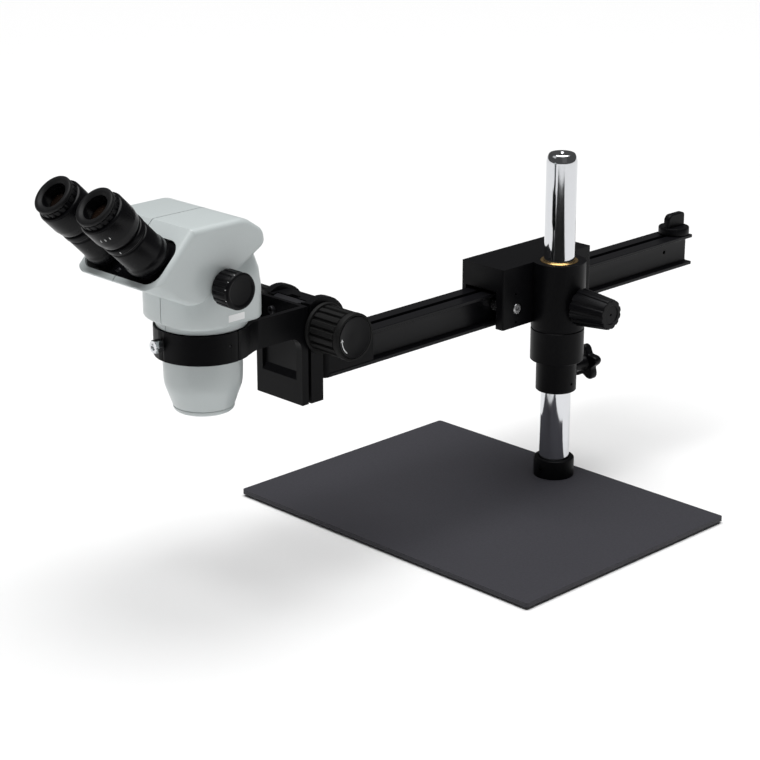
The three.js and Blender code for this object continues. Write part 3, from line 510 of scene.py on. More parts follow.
def make_materials(colors):
    """Every finish on the microscope."""
    grain_group()
    handling_group()
    machining_group()
    black = tuple(colors.black_paint)
    add = MATERIALS.__setitem__
    add("white", surface("head paint", tuple(colors.head_paint), 0.34, 0.05, grain=0.012, grain_scale=1600,
                         tone=0.025, coat=0.25, coat_roughness=0.18))
    add("paint", surface("black casting paint", black, 0.38, 0.06, grain=0.02, grain_scale=1900, tone=0.25,
                         dust=0.01, specular=0.08))
    add("powder", surface("textured powder coat", tuple(colors.base_paint), 0.5, 0.05, grain=0.05,
                          grain_scale=1300, tone=0.4, dust=0.06, specular=0.16))
    add("anodised", surface("black anodised rail", (0.005, 0.005, 0.006), 0.3, 0.07, metallic=0.1, tone=0.2,
                            lines=(2600, 14, 2600), line_depth=0.012, dust=0.01, specular=0.14))
    add("slide", surface("anodised slide", (0.02, 0.02, 0.023), 0.32, 0.06, metallic=0.4, tone=0.2,
                         lines=(2600, 2600, 20), line_depth=0.01))
    add("chrome", surface("polished chrome", (0.66, 0.67, 0.69), 0.07, 0.02, metallic=1.0, tone=0.03,
                          grain=0.00005, grain_scale=500))
    add("steel", surface("turned steel", (0.56, 0.56, 0.57), 0.26, 0.08, metallic=1.0, tone=0.08,
                         lines=(1500, 1500, 1500), line_depth=0.006))
    add("bronze", surface("plain bronze", (0.62, 0.4, 0.15), 0.28, 0.08, metallic=1.0, tone=0.15,
                          lines=(1400, 1400, 1400), line_depth=0.006))
    add("plastic", surface("moulded plastic", (0.003, 0.003, 0.0036), 0.36, 0.07, grain=0.03,
                           grain_scale=2300, tone=0.3, dust=0.01, specular=0.1))
    add("rubber", surface("black rubber", (0.007, 0.007, 0.007), 0.6, 0.08, grain=0.04, grain_scale=2600,
                          tone=0.3, dust=0.03, specular=0.12))
    add("cup", surface("eyecup rubber", (0.007, 0.007, 0.0075), 0.5, 0.08, grain=0.03, grain_scale=3200,
                       tone=0.3, dust=0.02, specular=0.14))
    add("satin", surface("satin tube finish", (0.003, 0.003, 0.0036), 0.28, 0.06, grain=0.008,
                         grain_scale=2800, tone=0.25, dust=0.01, specular=0.13))
    add("blued", surface("blued steel screw", (0.03, 0.03, 0.033), 0.3, 0.06, metallic=0.6, tone=0.15,
                         lines=(1500, 1500, 1500), line_depth=0.005))
    add("dark", surface("blackened inside", (0.003, 0.003, 0.003), 0.8, 0.05, grain=0.02, tone=0.3,
                        specular=0.1))
    add("ink", surface("printed mark", (0.72, 0.73, 0.73), 0.5, 0.05, grain=0.004, tone=0.06))
    add("label", surface("blank label", (0.86, 0.87, 0.87), 0.35, 0.06, metallic=0.0, grain=0.006,
                         tone=0.05))
    add("floor", surface("studio floor", (0.86, 0.86, 0.86), 0.7, 0.02, tone=0.01))
    add("front glass", coated_glass("front lens glass", (0.03, 0.05, 0.045), (0.07, 0.04, 0.09)))
    # The eye lens glass is coloured near black: painted shade that stands in for the dark tube behind the
    # lens.
    add("eye glass", coated_glass("eye lens glass with painted shade", (0.008, 0.006, 0.006), (0.035, 0.02, 0.012)))


# ---- base and post --------------------------------------------------------


def build_base(sizes):
    plate = sweep(axes_z(0, 0, 0), rounded_box(400, 300, 3), 0, 5)
    hole = revolve(post_axes(), [(0, -1), (9.4, -1), (4.6, 3.8), (4.6, 6), (0, 6)], 48)
    place("base_sheet", carve(plate, hole), "stand", "powder", ["base_plate"],
          edge=sizes.plate_edge / MM)
    for number, (x, y) in enumerate([(176, 126), (-176, 126), (-176, -126), (176, -126)], 1):
        pad = [(0, 0), (12.6, 0), (13.6, 0.3), (14, 1), (14, 2.4), (0, 2.4)]
        place(f"foot_pad_{number}", revolve(axes_z(x, y, -2.5), pad, 64), "stand", "rubber",
              [f"rubber_foot_{number}"])
    screw = revolve(post_axes(), [(0, 0.3), (7.6, 0.3), (3.8, 4.1), (3.8, 24), (0, 24)], 48)
    socket = sweep(post_axes(), circle(2.9, 6), -1, 3)
    place("post_screw", carve(screw, socket), "stand", "steel", ["post_bolt"])


def build_post():
    column = [(0, 26), (4.1, 26), (4.1, 5.2), (15.6, 5.2), (16, 5.6), (16, 345.6), (15.85, 347.5),
              (15.2, 350.8), (14.2, 353.4), (13.6, 354.3), (12.9, 355), (12.4, 355.25), (11.9, 355.4),
              (11.5, 355.4), (3.6, 355.4), (2.4, 354), (0, 353.6)]
    place("column", revolve(post_axes(), column, 128), "stand", "chrome", ["post"])
    socket = [(16.3, 5.1), (21.2, 5.1), (21.5, 5.5), (21.5, 23.9), (21.1, 24.9), (20.3, 25.4), (19.6, 25.5),
              (17, 25.5), (16.3, 24.9)]
    sleeve = revolve(post_axes(), socket, 96, closed=True)
    hole = sweep(axes_y(0, POST_Y - 22, 15, 1), circle(2, 24), -3, 3)
    place("socket_sleeve", carve(sleeve, hole), "stand", "paint", ["post_socket"])


def build_collar():
    sleeve = revolve(post_axes(), [(16.3, 101.5), (20.8, 101.5), (21.4, 102.1), (21.4, 135), (27.5, 135),
                     (28.1, 135.6), (28.1, 169), (27.5, 169.6), (16.3, 169.6)], 96, closed=True)
    stud_hole = sweep(axes_y(0, POST_Y, STAR_KNOB_Z), circle(3.5, 32), 12, 26)
    grub_hole = sweep(axes_x(0, POST_Y, COLLAR_SCREW_Z), circle(1.6, 24), 18.5, 26)
    place("collar_body", carve(sleeve, stud_hole, grub_hole), "collar", "paint",
          ["support_collar"], edge=0.2)
    grub_outline = [(0, 18.7), (1.45, 18.7), (1.45, 20.2), (0.7, 20.2), (0.6, 19.6), (0, 19.6)]
    grub = revolve(axes_x(0, POST_Y, COLLAR_SCREW_Z), grub_outline, 24)
    place("collar_set_screw", grub, "collar", "blued")
    washer = [(16.5, 169.7), (27.1, 169.7), (27.2, 169.9), (27.2, 170.7), (27.1, 170.9), (16.5, 170.9)]
    place("nylon_washer", revolve(post_axes(), washer, 96, closed=True), "collar", "plastic",
          ["thrust_washer"])


def build_star_knob():
    axes = axes_y(0, POST_Y, STAR_KNOB_Z)
    outline = star(5, 16.4, 3.4)
    lobes = loft(axes, [(42, scaled(outline, 0.9)), (42.6, scaled(outline, 0.965)), (44, outline),
                        (50, outline), (51.4, scaled(outline, 0.965)), (52, scaled(outline, 0.9))])
    hub = revolve(axes, [(3.3, 24.5), (6.8, 24.5), (7.5, 25.3), (7.5, 38), (8.2, 40.5), (9.6, 42.3),
                         (3.3, 42.3)], 64, closed=True)
    boss = revolve(axes, [(0, 51.5), (6.4, 51.5), (6.4, 52), (5.9, 52), (5, 51.9), (0, 51.6)], 48)
    place("star_grip", gather(lobes, hub, boss), "collar_knob", "plastic",
          ["collar_star_knob"], edge=0.3)
    threads = [(0, 16.6), (2.4, 16.6)]
    for i in range(9):
        threads += [(3, 17.4 + i * 0.9), (2.55, 17.85 + i * 0.9)]
    threads += [(3, 25.6), (3, 44), (0, 44)]
    place("star_grip_stud", revolve(axes, threads, 32), "collar_knob", "steel", ["collar_stud"])


# ---- carrier --------------------------------------------------------------


def build_carrier():
    barrel = revolve(post_axes(), [(0, 171.1), (28.1, 171.1), (28.1, 242), (0, 242)], 96)
    block_outline = [(u - 42.65, v - 2.25) for u, v in rounded_box(58.7, 136.5, 1.6, 5)]
    block = sweep(post_axes(), block_outline, 177.4, 242)
    bore = sweep(post_axes(), circle(20, 96), 160, 250)
    channel = sweep(post_axes(), [(-66.2, -90), (-23.4, -90), (-23.4, 90), (-66.2, 90)], 160, 217)
    holes = [bore, channel, sweep(axes_x(0, POST_Y, CLAMP_Z), circle(4.4, 32), 16, 34)]
    for _, y, z in AXLES:
        holes.append(sweep(axes_x(0, y, z), circle(5.9, 48), -17.6, -12))
        holes.append(sweep(axes_x(0, y, z), circle(3.3, 32), -25, -12))
        holes.append(sweep(axes_x(0, y, z), circle(3.3, 32), -74, -65))
        holes.append(sweep(axes_x(0, y - 2, z + 16), circle(1.3, 24), -15.3, -12))
        holes.append(sweep(axes_x(0, y - 1, z - 14.5), circle(1.3, 24), -15.3, -12))
    place("carrier_body", carve(weld(barrel, block), *holes), "carrier", "paint",
          ["carrier_casting"], edge=0.5, sharp=30)
    for name, low in (("upper_bush", 222.0), ("lower_bush", 171.3)):
        high = low + 20.5
        ring = [(16.7, low), (19.3, low), (19.7, low + 0.4), (19.7, high - 0.5), (19.2, high), (16.9, high),
                (16.3, high - 0.6), (16.3, low + 0.4)]
        place(f"{name}_ring", revolve(post_axes(), ring, 96, closed=True), "carrier", "bronze",
              [name])


def build_axles():
    for where, y, z in AXLES:
        for side, sign in SIDES:
            if sign > 0:
                tip, root, shoulder, seat, top = -38.4, -30.9, -23.6, -17.4, -12.3
            else:
                tip, root, shoulder, seat, top = -57.4, -64.7, -66.1, -72.1, -76.2
            axes = axes_x(0, y, z)
            body = revolve(axes, [(0, tip), (3.9, tip), (3.9, root), (5.4, root), (5.4, shoulder),
                                  (3, shoulder), (3, seat), (5.3, seat), (5.5, seat + sign * 0.3),
                                  (5.5, top - sign * 0.5), (5, top), (0, top)], 48)
            low, high = sorted((top - sign * 2.4, top + sign))
            hexagon = sweep(axes, circle(2.5, 6), low, high)
            name = f"axle_screw_{where}_{side}"
            place(f"{name}_bright", carve(body, hexagon), "carrier", "steel", [name], edge=0.15)


def build_bearings():
    for where, y, z in AXLES:
        for side, low in (("right", -38.4), ("left", -64.6)):
            high = low + 7.4
            ring = [(4.2, low + 0.3), (4.5, low), (6.6, low), (6.9, low + 0.6), (9.6, low + 0.6),
                    (9.9, low), (12, low), (12.4, low + 0.4), (12.4, high - 0.4), (12, high), (9.9, high),
                    (9.6, high - 0.6), (6.9, high - 0.6), (6.6, high), (4.5, high), (4.2, high - 0.3)]
            name = f"guide_bearing_{where}_{side}"
            place(f"{name}_race", revolve(axes_x(0, y, z), ring, 72, closed=True), f"bearing_{where}_{side}",
                  "steel", [name])


def build_clamp_knob():
    axes = axes_x(0, POST_Y, CLAMP_Z)
    outline = grip(12, 20, 18.7, 0.62, 16)
    stations = []
    rounding = ((0.0, 0.93), (0.012, 0.985), (0.035, 1.0), (0.5, 1.0), (0.955, 1.0), (0.985, 0.985),
                (1.0, 0.94))
    start, length, narrowing = 31, 40.7, 1 - 15.8 / 20
    for share, shrink in rounding:
        taper = 1 - share * narrowing
        stations.append((start + share * length, scaled(outline, taper * shrink)))
    knob = loft(axes, stations)
    cutters = [sweep(axes, circle(4.3, 32), 26, 55),
               revolve(axes, [(0, 70.9), (9.6, 70.9), (10.4, 72), (0, 72)], 64),
               sweep(axes, circle(1.3, 24), 68, 75)]
    place("clamp_grip", carve(knob, *cutters), "clamp", "plastic", ["clamp_knob"],
          edge=0.15, sharp=38)
    stud = revolve(axes, [(0, 16.6), (3.4, 16.6), (4, 17.2), (4, 53), (0, 53)], 40)
    place("clamp_screw", stud, "clamp", "steel", ["clamp_stud"])


# ---- boom -----------------------------------------------------------------


def rail_outline():
    right = [(17.0, -17.5), (17.5, -17.0), (17.5, -14.2), (17.2, -13.9), (9.7, -13.9), (8.8, -13.5),
             (8.5, -12.7), (8.5, 12.7), (8.8, 13.5), (9.7, 13.9), (17.2, 13.9), (17.5, 14.2),
             (17.5, 17.0), (17.0, 17.5), (3.5, 17.5), (3.25, 17.2), (3.25, 7.5)]
    return right + [(-u, v) for u, v in reversed(right)]


def build_rail():
    axes = Axes(at(RAIL_X, 0, RAIL_Z), X, Z, Y)
    rail = sweep(axes, rail_outline(), -181, 382)
    hole = sweep(axes_x(RAIL_X, 343.7, RAIL_Z + 1.9), circle(2.2, 32), -10, 10)
    screws = [sweep(Axes(at(RAIL_X, 0, RAIL_Z + v), X, Z, Y), circle(1.7, 24), 376, 385) for v in (-9, 1)]
    place("rail", carve(rail, hole, *screws), "boom", "anodised", ["boom_rail"])


def build_rail_end():
    neck = arc(-9.5, -182, 8, 180, 270, 8)[:-1] + [(-9.5, -190), (-9.5, -204.2), (9.5, -204.2), (9.5, -190)]
    outline = [(-17.5, -181.3)] + neck + arc(9.5, -182, 8, 270, 360, 8)[1:] + [(17.5, -181.3)]
    nose = sweep(axes_z(RAIL_X, 0, RAIL_Z), outline, -17.5, 17.5)
    cheeks = []
    for sign in (1, -1):
        corners = [(sign * 8.8, -182), (sign * 17.5, -182), (sign * 17.5, -122.6), (sign * 8.8, -122.6)]
        cheeks.append(sweep(axes_z(RAIL_X, 0, RAIL_Z), corners, -13.6, 13.6))
    place("rail_end", weld(nose, *cheeks), "boom", "paint", ["boom_end"], edge=0.5)


def build_stop():
    axes = axes_z(RAIL_X, 370.5, RAIL_Z)
    disc = revolve(axes, [(3, 17.6), (16.6, 17.6), (17.3, 18.4), (17.3, 25), (16.8, 25.9), (15.8, 26.1),
                          (3, 26.1)], 96, closed=True)
    wing_axes = Axes(axes.origin, Y, Z, X)
    outline = [(-14.5, 25.5)] + arc(-7.5, 34, 7, 180, 90, 10) + arc(10.5, 37, 4, 90, 0, 6) + [(14.5, 25.5)]
    middle = 32

    def narrowed(amount):
        return [(u * amount, middle + (v - middle) * amount) for u, v in outline]

    wing = loft(wing_axes, [(-4, narrowed(0.9)), (-3.2, narrowed(0.98)), (-2, outline), (2, outline),
                            (3.2, narrowed(0.98)), (4, narrowed(0.9))])
    place("stop_grip_wing", gather(disc, wing), "stop_grip", "plastic", ["stop_knob"],
          edge=0.2)
    foot = sweep(axes, rounded_box(5.9, 12, 1), 7.8, 11.8)
    shank = revolve(axes, [(0, 11), (2.7, 11), (2.7, 26), (0, 26)], 32)
    place("stop_foot", gather(foot, shank), "stop_block", "steel", ["stop_bolt"])


# ---- focus mount ----------------------------------------------------------


def build_focus_body():
    place("focus_housing", from_frame("focus_body"), "boom", "paint", ["focus_body"],
          edge=0.6, sharp=30)
    ring = [(5.6, 32.6), (12.4, 32.6), (12.8, 32.9), (12.8, 33.3), (12.4, 33.5), (5.6, 33.5)]
    for name, side in reversed(SIDES):
        turned = revolve(axes_x(*PINION, side), ring, 64, closed=True)
        place(f"friction_ring_{name}", turned, "boom", "plastic")


def build_pinion(sizes):
    refinish("pinion_shaft", "steel")
    for name, side in SIDES:
        axes = axes_x(*PINION, side)
        ribs = grip(sizes.focus_ribs, 22.8, 20.8, 0.66, 20)
        body = loft(axes, [(37.2, trimmed(ribs, 21.4)), (38.2, ribs), (69.0, ribs),
                           (69.8, trimmed(ribs, 21.4)), (70.4, trimmed(ribs, 21.4))])
        flange = revolve(axes, [(4.8, 33.7), (24.2, 33.7), (25, 34.5), (25, 36.6), (24.3, 37.6),
                                (21.3, 37.8), (4.8, 37.8)], 128, closed=True)
        rim = revolve(axes, [(20.5, 70.3), (22.5, 70.3), (23.1, 70.9), (23.1, 75.4), (22.7, 76.4),
                             (22, 76.7), (21.1, 76.7), (20.5, 76.1)], 128, closed=True)
        place(f"focus_grip_{name}", gather(body, flange, rim), "pinion", "rubber",
              [f"focus_knob_{name}"], edge=0.12, sharp=40)
        cap = revolve(axes, [(0, 74.4), (20.1, 74.4), (20.1, 76.1), (19.8, 76.5), (19.2, 76.6), (18.8, 76.4),
                             (6, 76.35), (0, 76.35)], 96)
        place(f"cap_{name}", cap, "pinion", "plastic", [f"knob_cap_{name}"])
        place(f"turn_arrow_{name}", turn_arrow(axes), "pinion", "ink")


def turn_arrow(axes):
    """A printed arc with an arrow head, which says that the cap turns."""
    outer = arc(0, 0, 17.1, 182, 232, 24)
    inner = arc(0, 0, 16.2, 232, 182, 24)
    head = []
    for radius, angle in ((18.3, math.radians(184)), (16.65, math.radians(174)), (15, math.radians(184))):
        head.append((radius * math.cos(angle), radius * math.sin(angle)))
    return gather(*[sweep(axes, outline, 76.3, 76.5) for outline in (outer + inner, head)])


def build_slide():
    place("slide_bar", from_frame("dovetail_slide"), "arm", "slide", ["dovetail_slide"],
          edge=0.25)
    place("rack_bar", from_frame("focus_rack"), "arm", "steel", ["focus_rack"])


def build_arm(sizes):
    grooves = []
    for angle in GROOVE_ANGLES:
        turn = Matrix.Rotation(math.radians(angle), 3, "Z")
        around = Axes(at(HEAD_X, HEAD_Y, 0), turn @ X, turn @ Y, Z)
        grooves.append(sweep(around, [(43.5, -0.4), (48, -0.4), (48, 0.4), (43.5, 0.4)], 230, 268))
    casting = carve(from_frame("head_arm"), *grooves)
    place("arm_casting", casting, "arm", "paint", ["head_arm"],
          edge=sizes.casting_edge / MM, sharp=18, rounds=3)
    for name, side in SIDES:
        axes = axes_y(HEAD_X + side * 12, HEAD_Y, 250, -1)
        body = revolve(axes, [(0, -97.6), (4, -97.6), (4, -94.6), (3.6, -94.1), (0, -94.1)], 40)
        shank = sweep(axes, circle(2.3, 24), -111, -97)
        hexagon = sweep(axes, circle(1.8, 6), -96.2, -93)
        place(f"slide_screw_{name}_black", gather(carve(body, hexagon), shank), "arm", "blued",
              [f"slide_screw_{name}"])
    build_thumb_screw()
    grub_axes = axes_x(HEAD_X, HEAD_Y - 4, RING_SCREW_Z)
    grub = revolve(grub_axes, [(0, 42.5), (1.3, 42.5), (1.3, 44.0), (0.6, 44.0), (0.5, 43.4), (0, 43.4)], 24)
    place("ring_set_screw", grub, "arm", "blued")


def build_thumb_screw():
    turn = Matrix.Rotation(math.radians(THUMB_ANGLE), 3, "Z")
    out = turn @ -Y
    axes = Axes(at(HEAD_X, HEAD_Y, RING_SCREW_Z), turn @ X, Z, out)
    shank = revolve(axes, [(0, 38.8), (2.6, 38.8), (3, 39.2), (3, 47), (0, 47)], 32)
    flat_hex = sweep(axes, circle(6.5, 6), 45.5, 54)
    crown = revolve(axes, [(0, 45.3), (5.7, 45.3), (6.5, 46.4), (6.5, 53), (5.6, 54), (0, 54)], 64)
    head = combine(flat_hex, [crown], "INTERSECT")
    dimple = revolve(axes, [(0, 52.6), (2.6, 52.6), (3.6, 54.5), (0, 54.5)], 48)
    place("thumb_screw_bright", gather(shank, carve(head, dimple)), "thumb_screw", "chrome",
          ["ring_thumb_screw"], edge=0.15)


# ---- head -----------------------------------------------------------------


def build_nosepiece():
    axes = head_axes()
    profile = [(24.6, 180), (24.9, 179.6), (26.5, 179.6), (27, 179.8), (28.1, 181.1), (28.5, 182),
               (28.7, 183.6), (28.2, 183.9), (28.2, 184.5), (28.9, 184.9), (30.2, 188.5), (32.2, 194.2),
               (34.5, 200.6), (35.6, 204), (36.1, 207), (36.5, 211), (36.8, 222), (36.8, 233.2),
               (38, 233.6), (38, 261.3), (36.4, 261.9), (36.3, 272), (33.5, 272), (33.5, 212),
               (24.6, 190)]
    place("nose_cone", revolve(axes, profile, 160, closed=True), "head", "white",
          ["nosepiece"], sharp=40)
    lens = [(0, 181.7)]
    for i in range(1, 9):
        radius = 23 * i / 8
        lens.append((radius, 181.7 + radius * radius * 0.0026))
    lens += [(24.2, 184.2), (24.2, 187.6), (14, 189.2), (0, 189.8)]
    place("front_lens", revolve(axes, lens, 96), "head", "front glass", ["objective_lens"])
    ring = [(22.4, 181.1), (24.5, 180.6), (24.5, 182.2), (22.4, 183.2)]
    place("lens_retaining_ring", revolve(axes, ring, 96, closed=True), "head", "plastic")
    carriage = from_frame("zoom_carriage")
    place("zoom_carriage_disc", carriage, "carriage", "slide", ["zoom_carriage"], edge=0.3)


def housing_side(inset=0.0):
    """Side view of the upper housing as (y, z) from the head's axis, with rounded corners."""
    corners = [(-100.5, 321.2, 2.0), (-60.0, 301.5, 6.0), (-52.0, 299.8, 4.0), (-42.0, 300.2, 5.0),
               (14.0, 330.5, 10.0), (31.5, 340.5, 9.0), (30.0, 354.0, 12.0), (8.0, 369.0, 26.0),
               (-52.7, 369.0, 1.6)]
    return rounded_polygon(corners, inset)


def rounded_polygon(corners, inset=0.0, steps=7):
    """A polygon moved inward, with each corner (u, v, radius) rounded."""
    count = len(corners)
    moved = []
    for i in range(count):
        before, here, after = corners[i - 1], corners[i], corners[(i + 1) % count]
        first = Vector((here[0] - before[0], here[1] - before[1])).normalized()
        second = Vector((after[0] - here[0], after[1] - here[1])).normalized()
        normals = Vector((-first.y, first.x)) + Vector((-second.y, second.x))
        stretch = inset / max(0.2, (1 + first.dot(second)) / 2) / 2
        moved.append((here[0] + normals.x * stretch, here[1] + normals.y * stretch, here[2]))
    points = []
    for i in range(count):
        before, here, after = (Vector(moved[k % count][:2]) for k in (i - 1, i, i + 1))
        back = (before - here).normalized()
        ahead = (after - here).normalized()
        half = math.acos(max(-1, min(1, back.dot(ahead)))) / 2
        radius = max(0.3, moved[i][2] - inset * 0.5)
        reach = min(radius / math.tan(half), 0.45 * (before - here).length, 0.45 * (after - here).length)
        start, end = here + back * reach, here + ahead * reach
        for k in range(steps + 1):
            t = k / steps
            bend = start * (1 - t) ** 2 + here * (2 * t * (1 - t)) + end * t**2
            points.append((bend.x, bend.y))
    return points


def upper_housing(inset, round_radius):
    """The housing between its two rounded side faces."""
    axes = Axes(at(HEAD_X, HEAD_Y, 0), Y, Z, X)
    half = HEAD_HALF - inset
    stations = []
    steps = 6
    for k in range(steps + 1):
        angle = math.pi / 2 * k / steps
        height = -half + round_radius * (1 - math.sin(angle))
        stations.append((height, round_radius * (1 - math.cos(angle))))
    ordered = sorted(stations) + [(-height, shrink) for height, shrink in sorted(stations, reverse=True)]
    return loft(axes, [(height, housing_side(inset + shrink)) for height, shrink in ordered])


def body_outline(inset):
    """Plan of the middle body, as (x, y) from the head's axis."""
    half, front, rear, corner = 47 - inset, 47.5 - inset, 38.5 - inset, 13 - inset
    points = arc(half - corner, rear - corner, corner, 0, 90, 10)
    points += arc(-half + corner, rear - corner, corner, 90, 180, 10)
    steps = 56
    for i in range(steps + 1):
        angle = math.pi * (1 + i / steps)
        across = math.copysign(abs(math.cos(angle)) ** (2 / 3), math.cos(angle))
        along = -(abs(math.sin(angle)) ** (2 / 3))
        points.append((half * across, front * along))
    return points


def middle_body(inset):
    axes = head_axes()
    low, high = 268.5 + inset, 331 - inset
    stations = [(low, body_outline(inset + 3.2)), (low + 0.7, body_outline(inset + 1.9)),
                (low + 2.0, body_outline(inset + 0.7)), (low + 3.6, body_outline(inset)),
                (300, body_outline(inset)), (316, body_outline(inset + 2)), (high, body_outline(inset + 7))]
    return loft(axes, stations)


def lip_prism(inset):
    """The housing's outline seen along the eye tubes, with rounded lower corners, as a prism."""
    reach, window_middle = 110, 29.7
    outline = rounded_box(2 * (HEAD_HALF - inset), 2 * (reach - inset), 17 - inset, 12)
    raised = [(u, v + reach - window_middle) for u, v in outline]
    return sweep(bezel_axes(), raised, -220, 5)


def build_shells(sizes):
    skirt = revolve(head_axes(), [(0, 262.1), (41.7, 262.1), (42.3, 262.7), (42.3, 269.5), (0, 269.5)], 128)
    mouth = sweep(head_axes(), circle(36.7, 128), 257, 274)
    window = sweep(bezel_axes(), rounded_box(103, 46.6, 14, 12), -14, 5)
    zoom_hole = sweep(axes_x(*ZOOM), circle(5, 48), -61, 61)
    housing = combine(upper_housing(0, 6.0), [lip_prism(0)], "INTERSECT")
    chamber = combine(upper_housing(3, 4.0), [lip_prism(3)], "INTERSECT")
    outer = weld(housing, middle_body(0), skirt)
    casing = carve(outer, chamber, middle_body(3), mouth, window, zoom_hole)
    mesh = bpy.data.meshes.new("casing")
    casing.to_mesh(mesh)
    casing.free()
    for name, side in SIDES:
        half = bmesh.new()
        half.from_mesh(mesh)
        limits = sorted((side * sizes.seam_gap / MM / 2, side * 70))
        corners = [(limits[0], -150), (limits[1], -150), (limits[1], 100), (limits[0], 100)]
        keep = sweep(head_axes(), corners, 240, 400)
        shell = combine(half, [keep], "INTERSECT")
        place(f"shell_{name}", shell, "head", "white", [f"head_shell_{name}"], sharp=28,
              edge=0.35)
    bpy.data.meshes.remove(mesh)
    build_label()


def build_label():
    """A blank sticker on the right side."""
    axes = Axes(at(HEAD_X + 47, HEAD_Y + 1.6, 276.6), Y, Z, X)
    plate = sweep(axes, rounded_box(19, 6.4, 0.6), -0.12, 0.1)
    place("blank_label", plate, "head", "label")


def build_panel():
    axes = bezel_axes()
    plate = sweep(axes, rounded_box(102.4, 46, 13.7, 12), -6.6, -3.6)
    holes = []
    for side in (-1, 1):
        holes.append(sweep(axes, [(side * 31 + u, v - 6.4) for u, v in circle(13.3, 72)], -8, -2))
    place("panel", carve(plate, *holes), "head", "satin", ["eyepiece_panel"], edge=0.3)
    screw_axes = Axes(axes.point(-5, -16.5, 0), axes.u, axes.v, axes.w)
    screw = revolve(screw_axes, [(0, -3.7), (2.4, -3.7), (2.4, -2.9), (2, -2.5), (0, -2.3)], 40)
    slots = []
    for u, v in ((1.7, 0.25), (0.25, 1.7)):
        slots.append(sweep(screw_axes, [(-u, -v), (u, -v), (u, v), (-u, v)], -2.9, -2))
    place("panel_screw", carve(screw, *slots), "head", "blued")


def build_zoom():
    refinish("zoom_shaft", "steel")
    for name, side in SIDES:
        axes = axes_x(*ZOOM, side)
        outline = grip(18, 16.9, 16.0, 0.6, 16)
        body = loft(axes, [(57, trimmed(outline, 15.4)), (57.6, trimmed(outline, 16.2)), (58.6, outline),
                           (74.6, outline), (75.6, trimmed(outline, 16.1))])
        face = revolve(axes, [(0, 75), (16.4, 75), (17, 75.6), (17, 77.2), (16.4, 78.3), (15.2, 78.8),
                              (13.6, 78.6), (12.9, 77.9), (12.2, 77.7), (0, 77.7)], 96)
        neck = revolve(axes, [(3.8, 48), (4.6, 48), (4.6, 57.5), (3.8, 57.5)], 48, closed=True)
        place(f"zoom_grip_{name}", gather(body, face, neck), "zoom", "plastic",
              [f"zoom_knob_{name}"], edge=0.1, sharp=40)
        place(f"zoom_marks_{name}", zoom_marks(axes), "zoom", "ink")


def zoom_marks(axes):
    """Short index lines round the knob's edge."""
    marks = []
    for angle in (20, 75, 110, 140, 165, 200):
        marks.append(index_mark(axes, (17.02, 17.1), angle, 0.22, (75.7, 77.1)))
    return gather(*marks)


# ---- eyepieces ------------------------------------------------------------


def build_tubes():
    for name, side in SIDES:
        axes = axes_tube(side)
        disc_axes = Axes(axes.point(1.9, -6.7, 0), axes.u, axes.v, axes.w)
        disc_outline = [(9.5, -10), (15.2, -10), (15.2, -7.2), (13, -7.2), (13, 1), (9.5, 1)]
        disc = revolve(disc_axes, disc_outline, 72, closed=True)
        sleeve = revolve(axes, [(15.3, 0.6), (19.1, 0.5), (19.6, 1), (19.7, 3.2), (20.2, 4.2),
                                (20.8, 4.8), (21, 5.6), (21, 9.8), (20.7, 11.2), (20.2, 12.4),
                                (20.1, 13.4), (20.1, 34), (19.9, 34.6), (19, 35.2), (19, 37.6),
                                (20.1, 38), (20.6, 38.6), (20.6, 42.8), (20.2, 43.4), (19, 43.8),
                                (19, 44.2), (15.3, 44.2)], 128, closed=True)
        place(f"tube_body_{name}", gather(disc, sleeve), f"tube_{name}", "satin",
              [f"eyetube_{name}"], sharp=38)
        barrel = revolve(axes, [(13, 12), (15, 12), (15, 44.4), (18.4, 44.4), (18.6, 44.6), (18.6, 45.5),
                                (20, 46.1), (20.6, 46.9), (20.9, 49), (21.3, 51.2), (21.8, 53.6),
                                (21.9, 54.6), (21.9, 71.8), (21.6, 72.8), (20.8, 73.6), (19.9, 74),
                                (16.4, 74), (16.4, 80.5), (12.2, 80.5), (12.2, 74.6), (12.2, 66),
                                (10, 64), (10, 20), (13, 18)], 128, closed=True)
        place(f"eyepiece_body_{name}", barrel, f"tube_{name}", "satin",
              [f"eyepiece_{name}"], sharp=38)
        build_eye_details(axes, name)


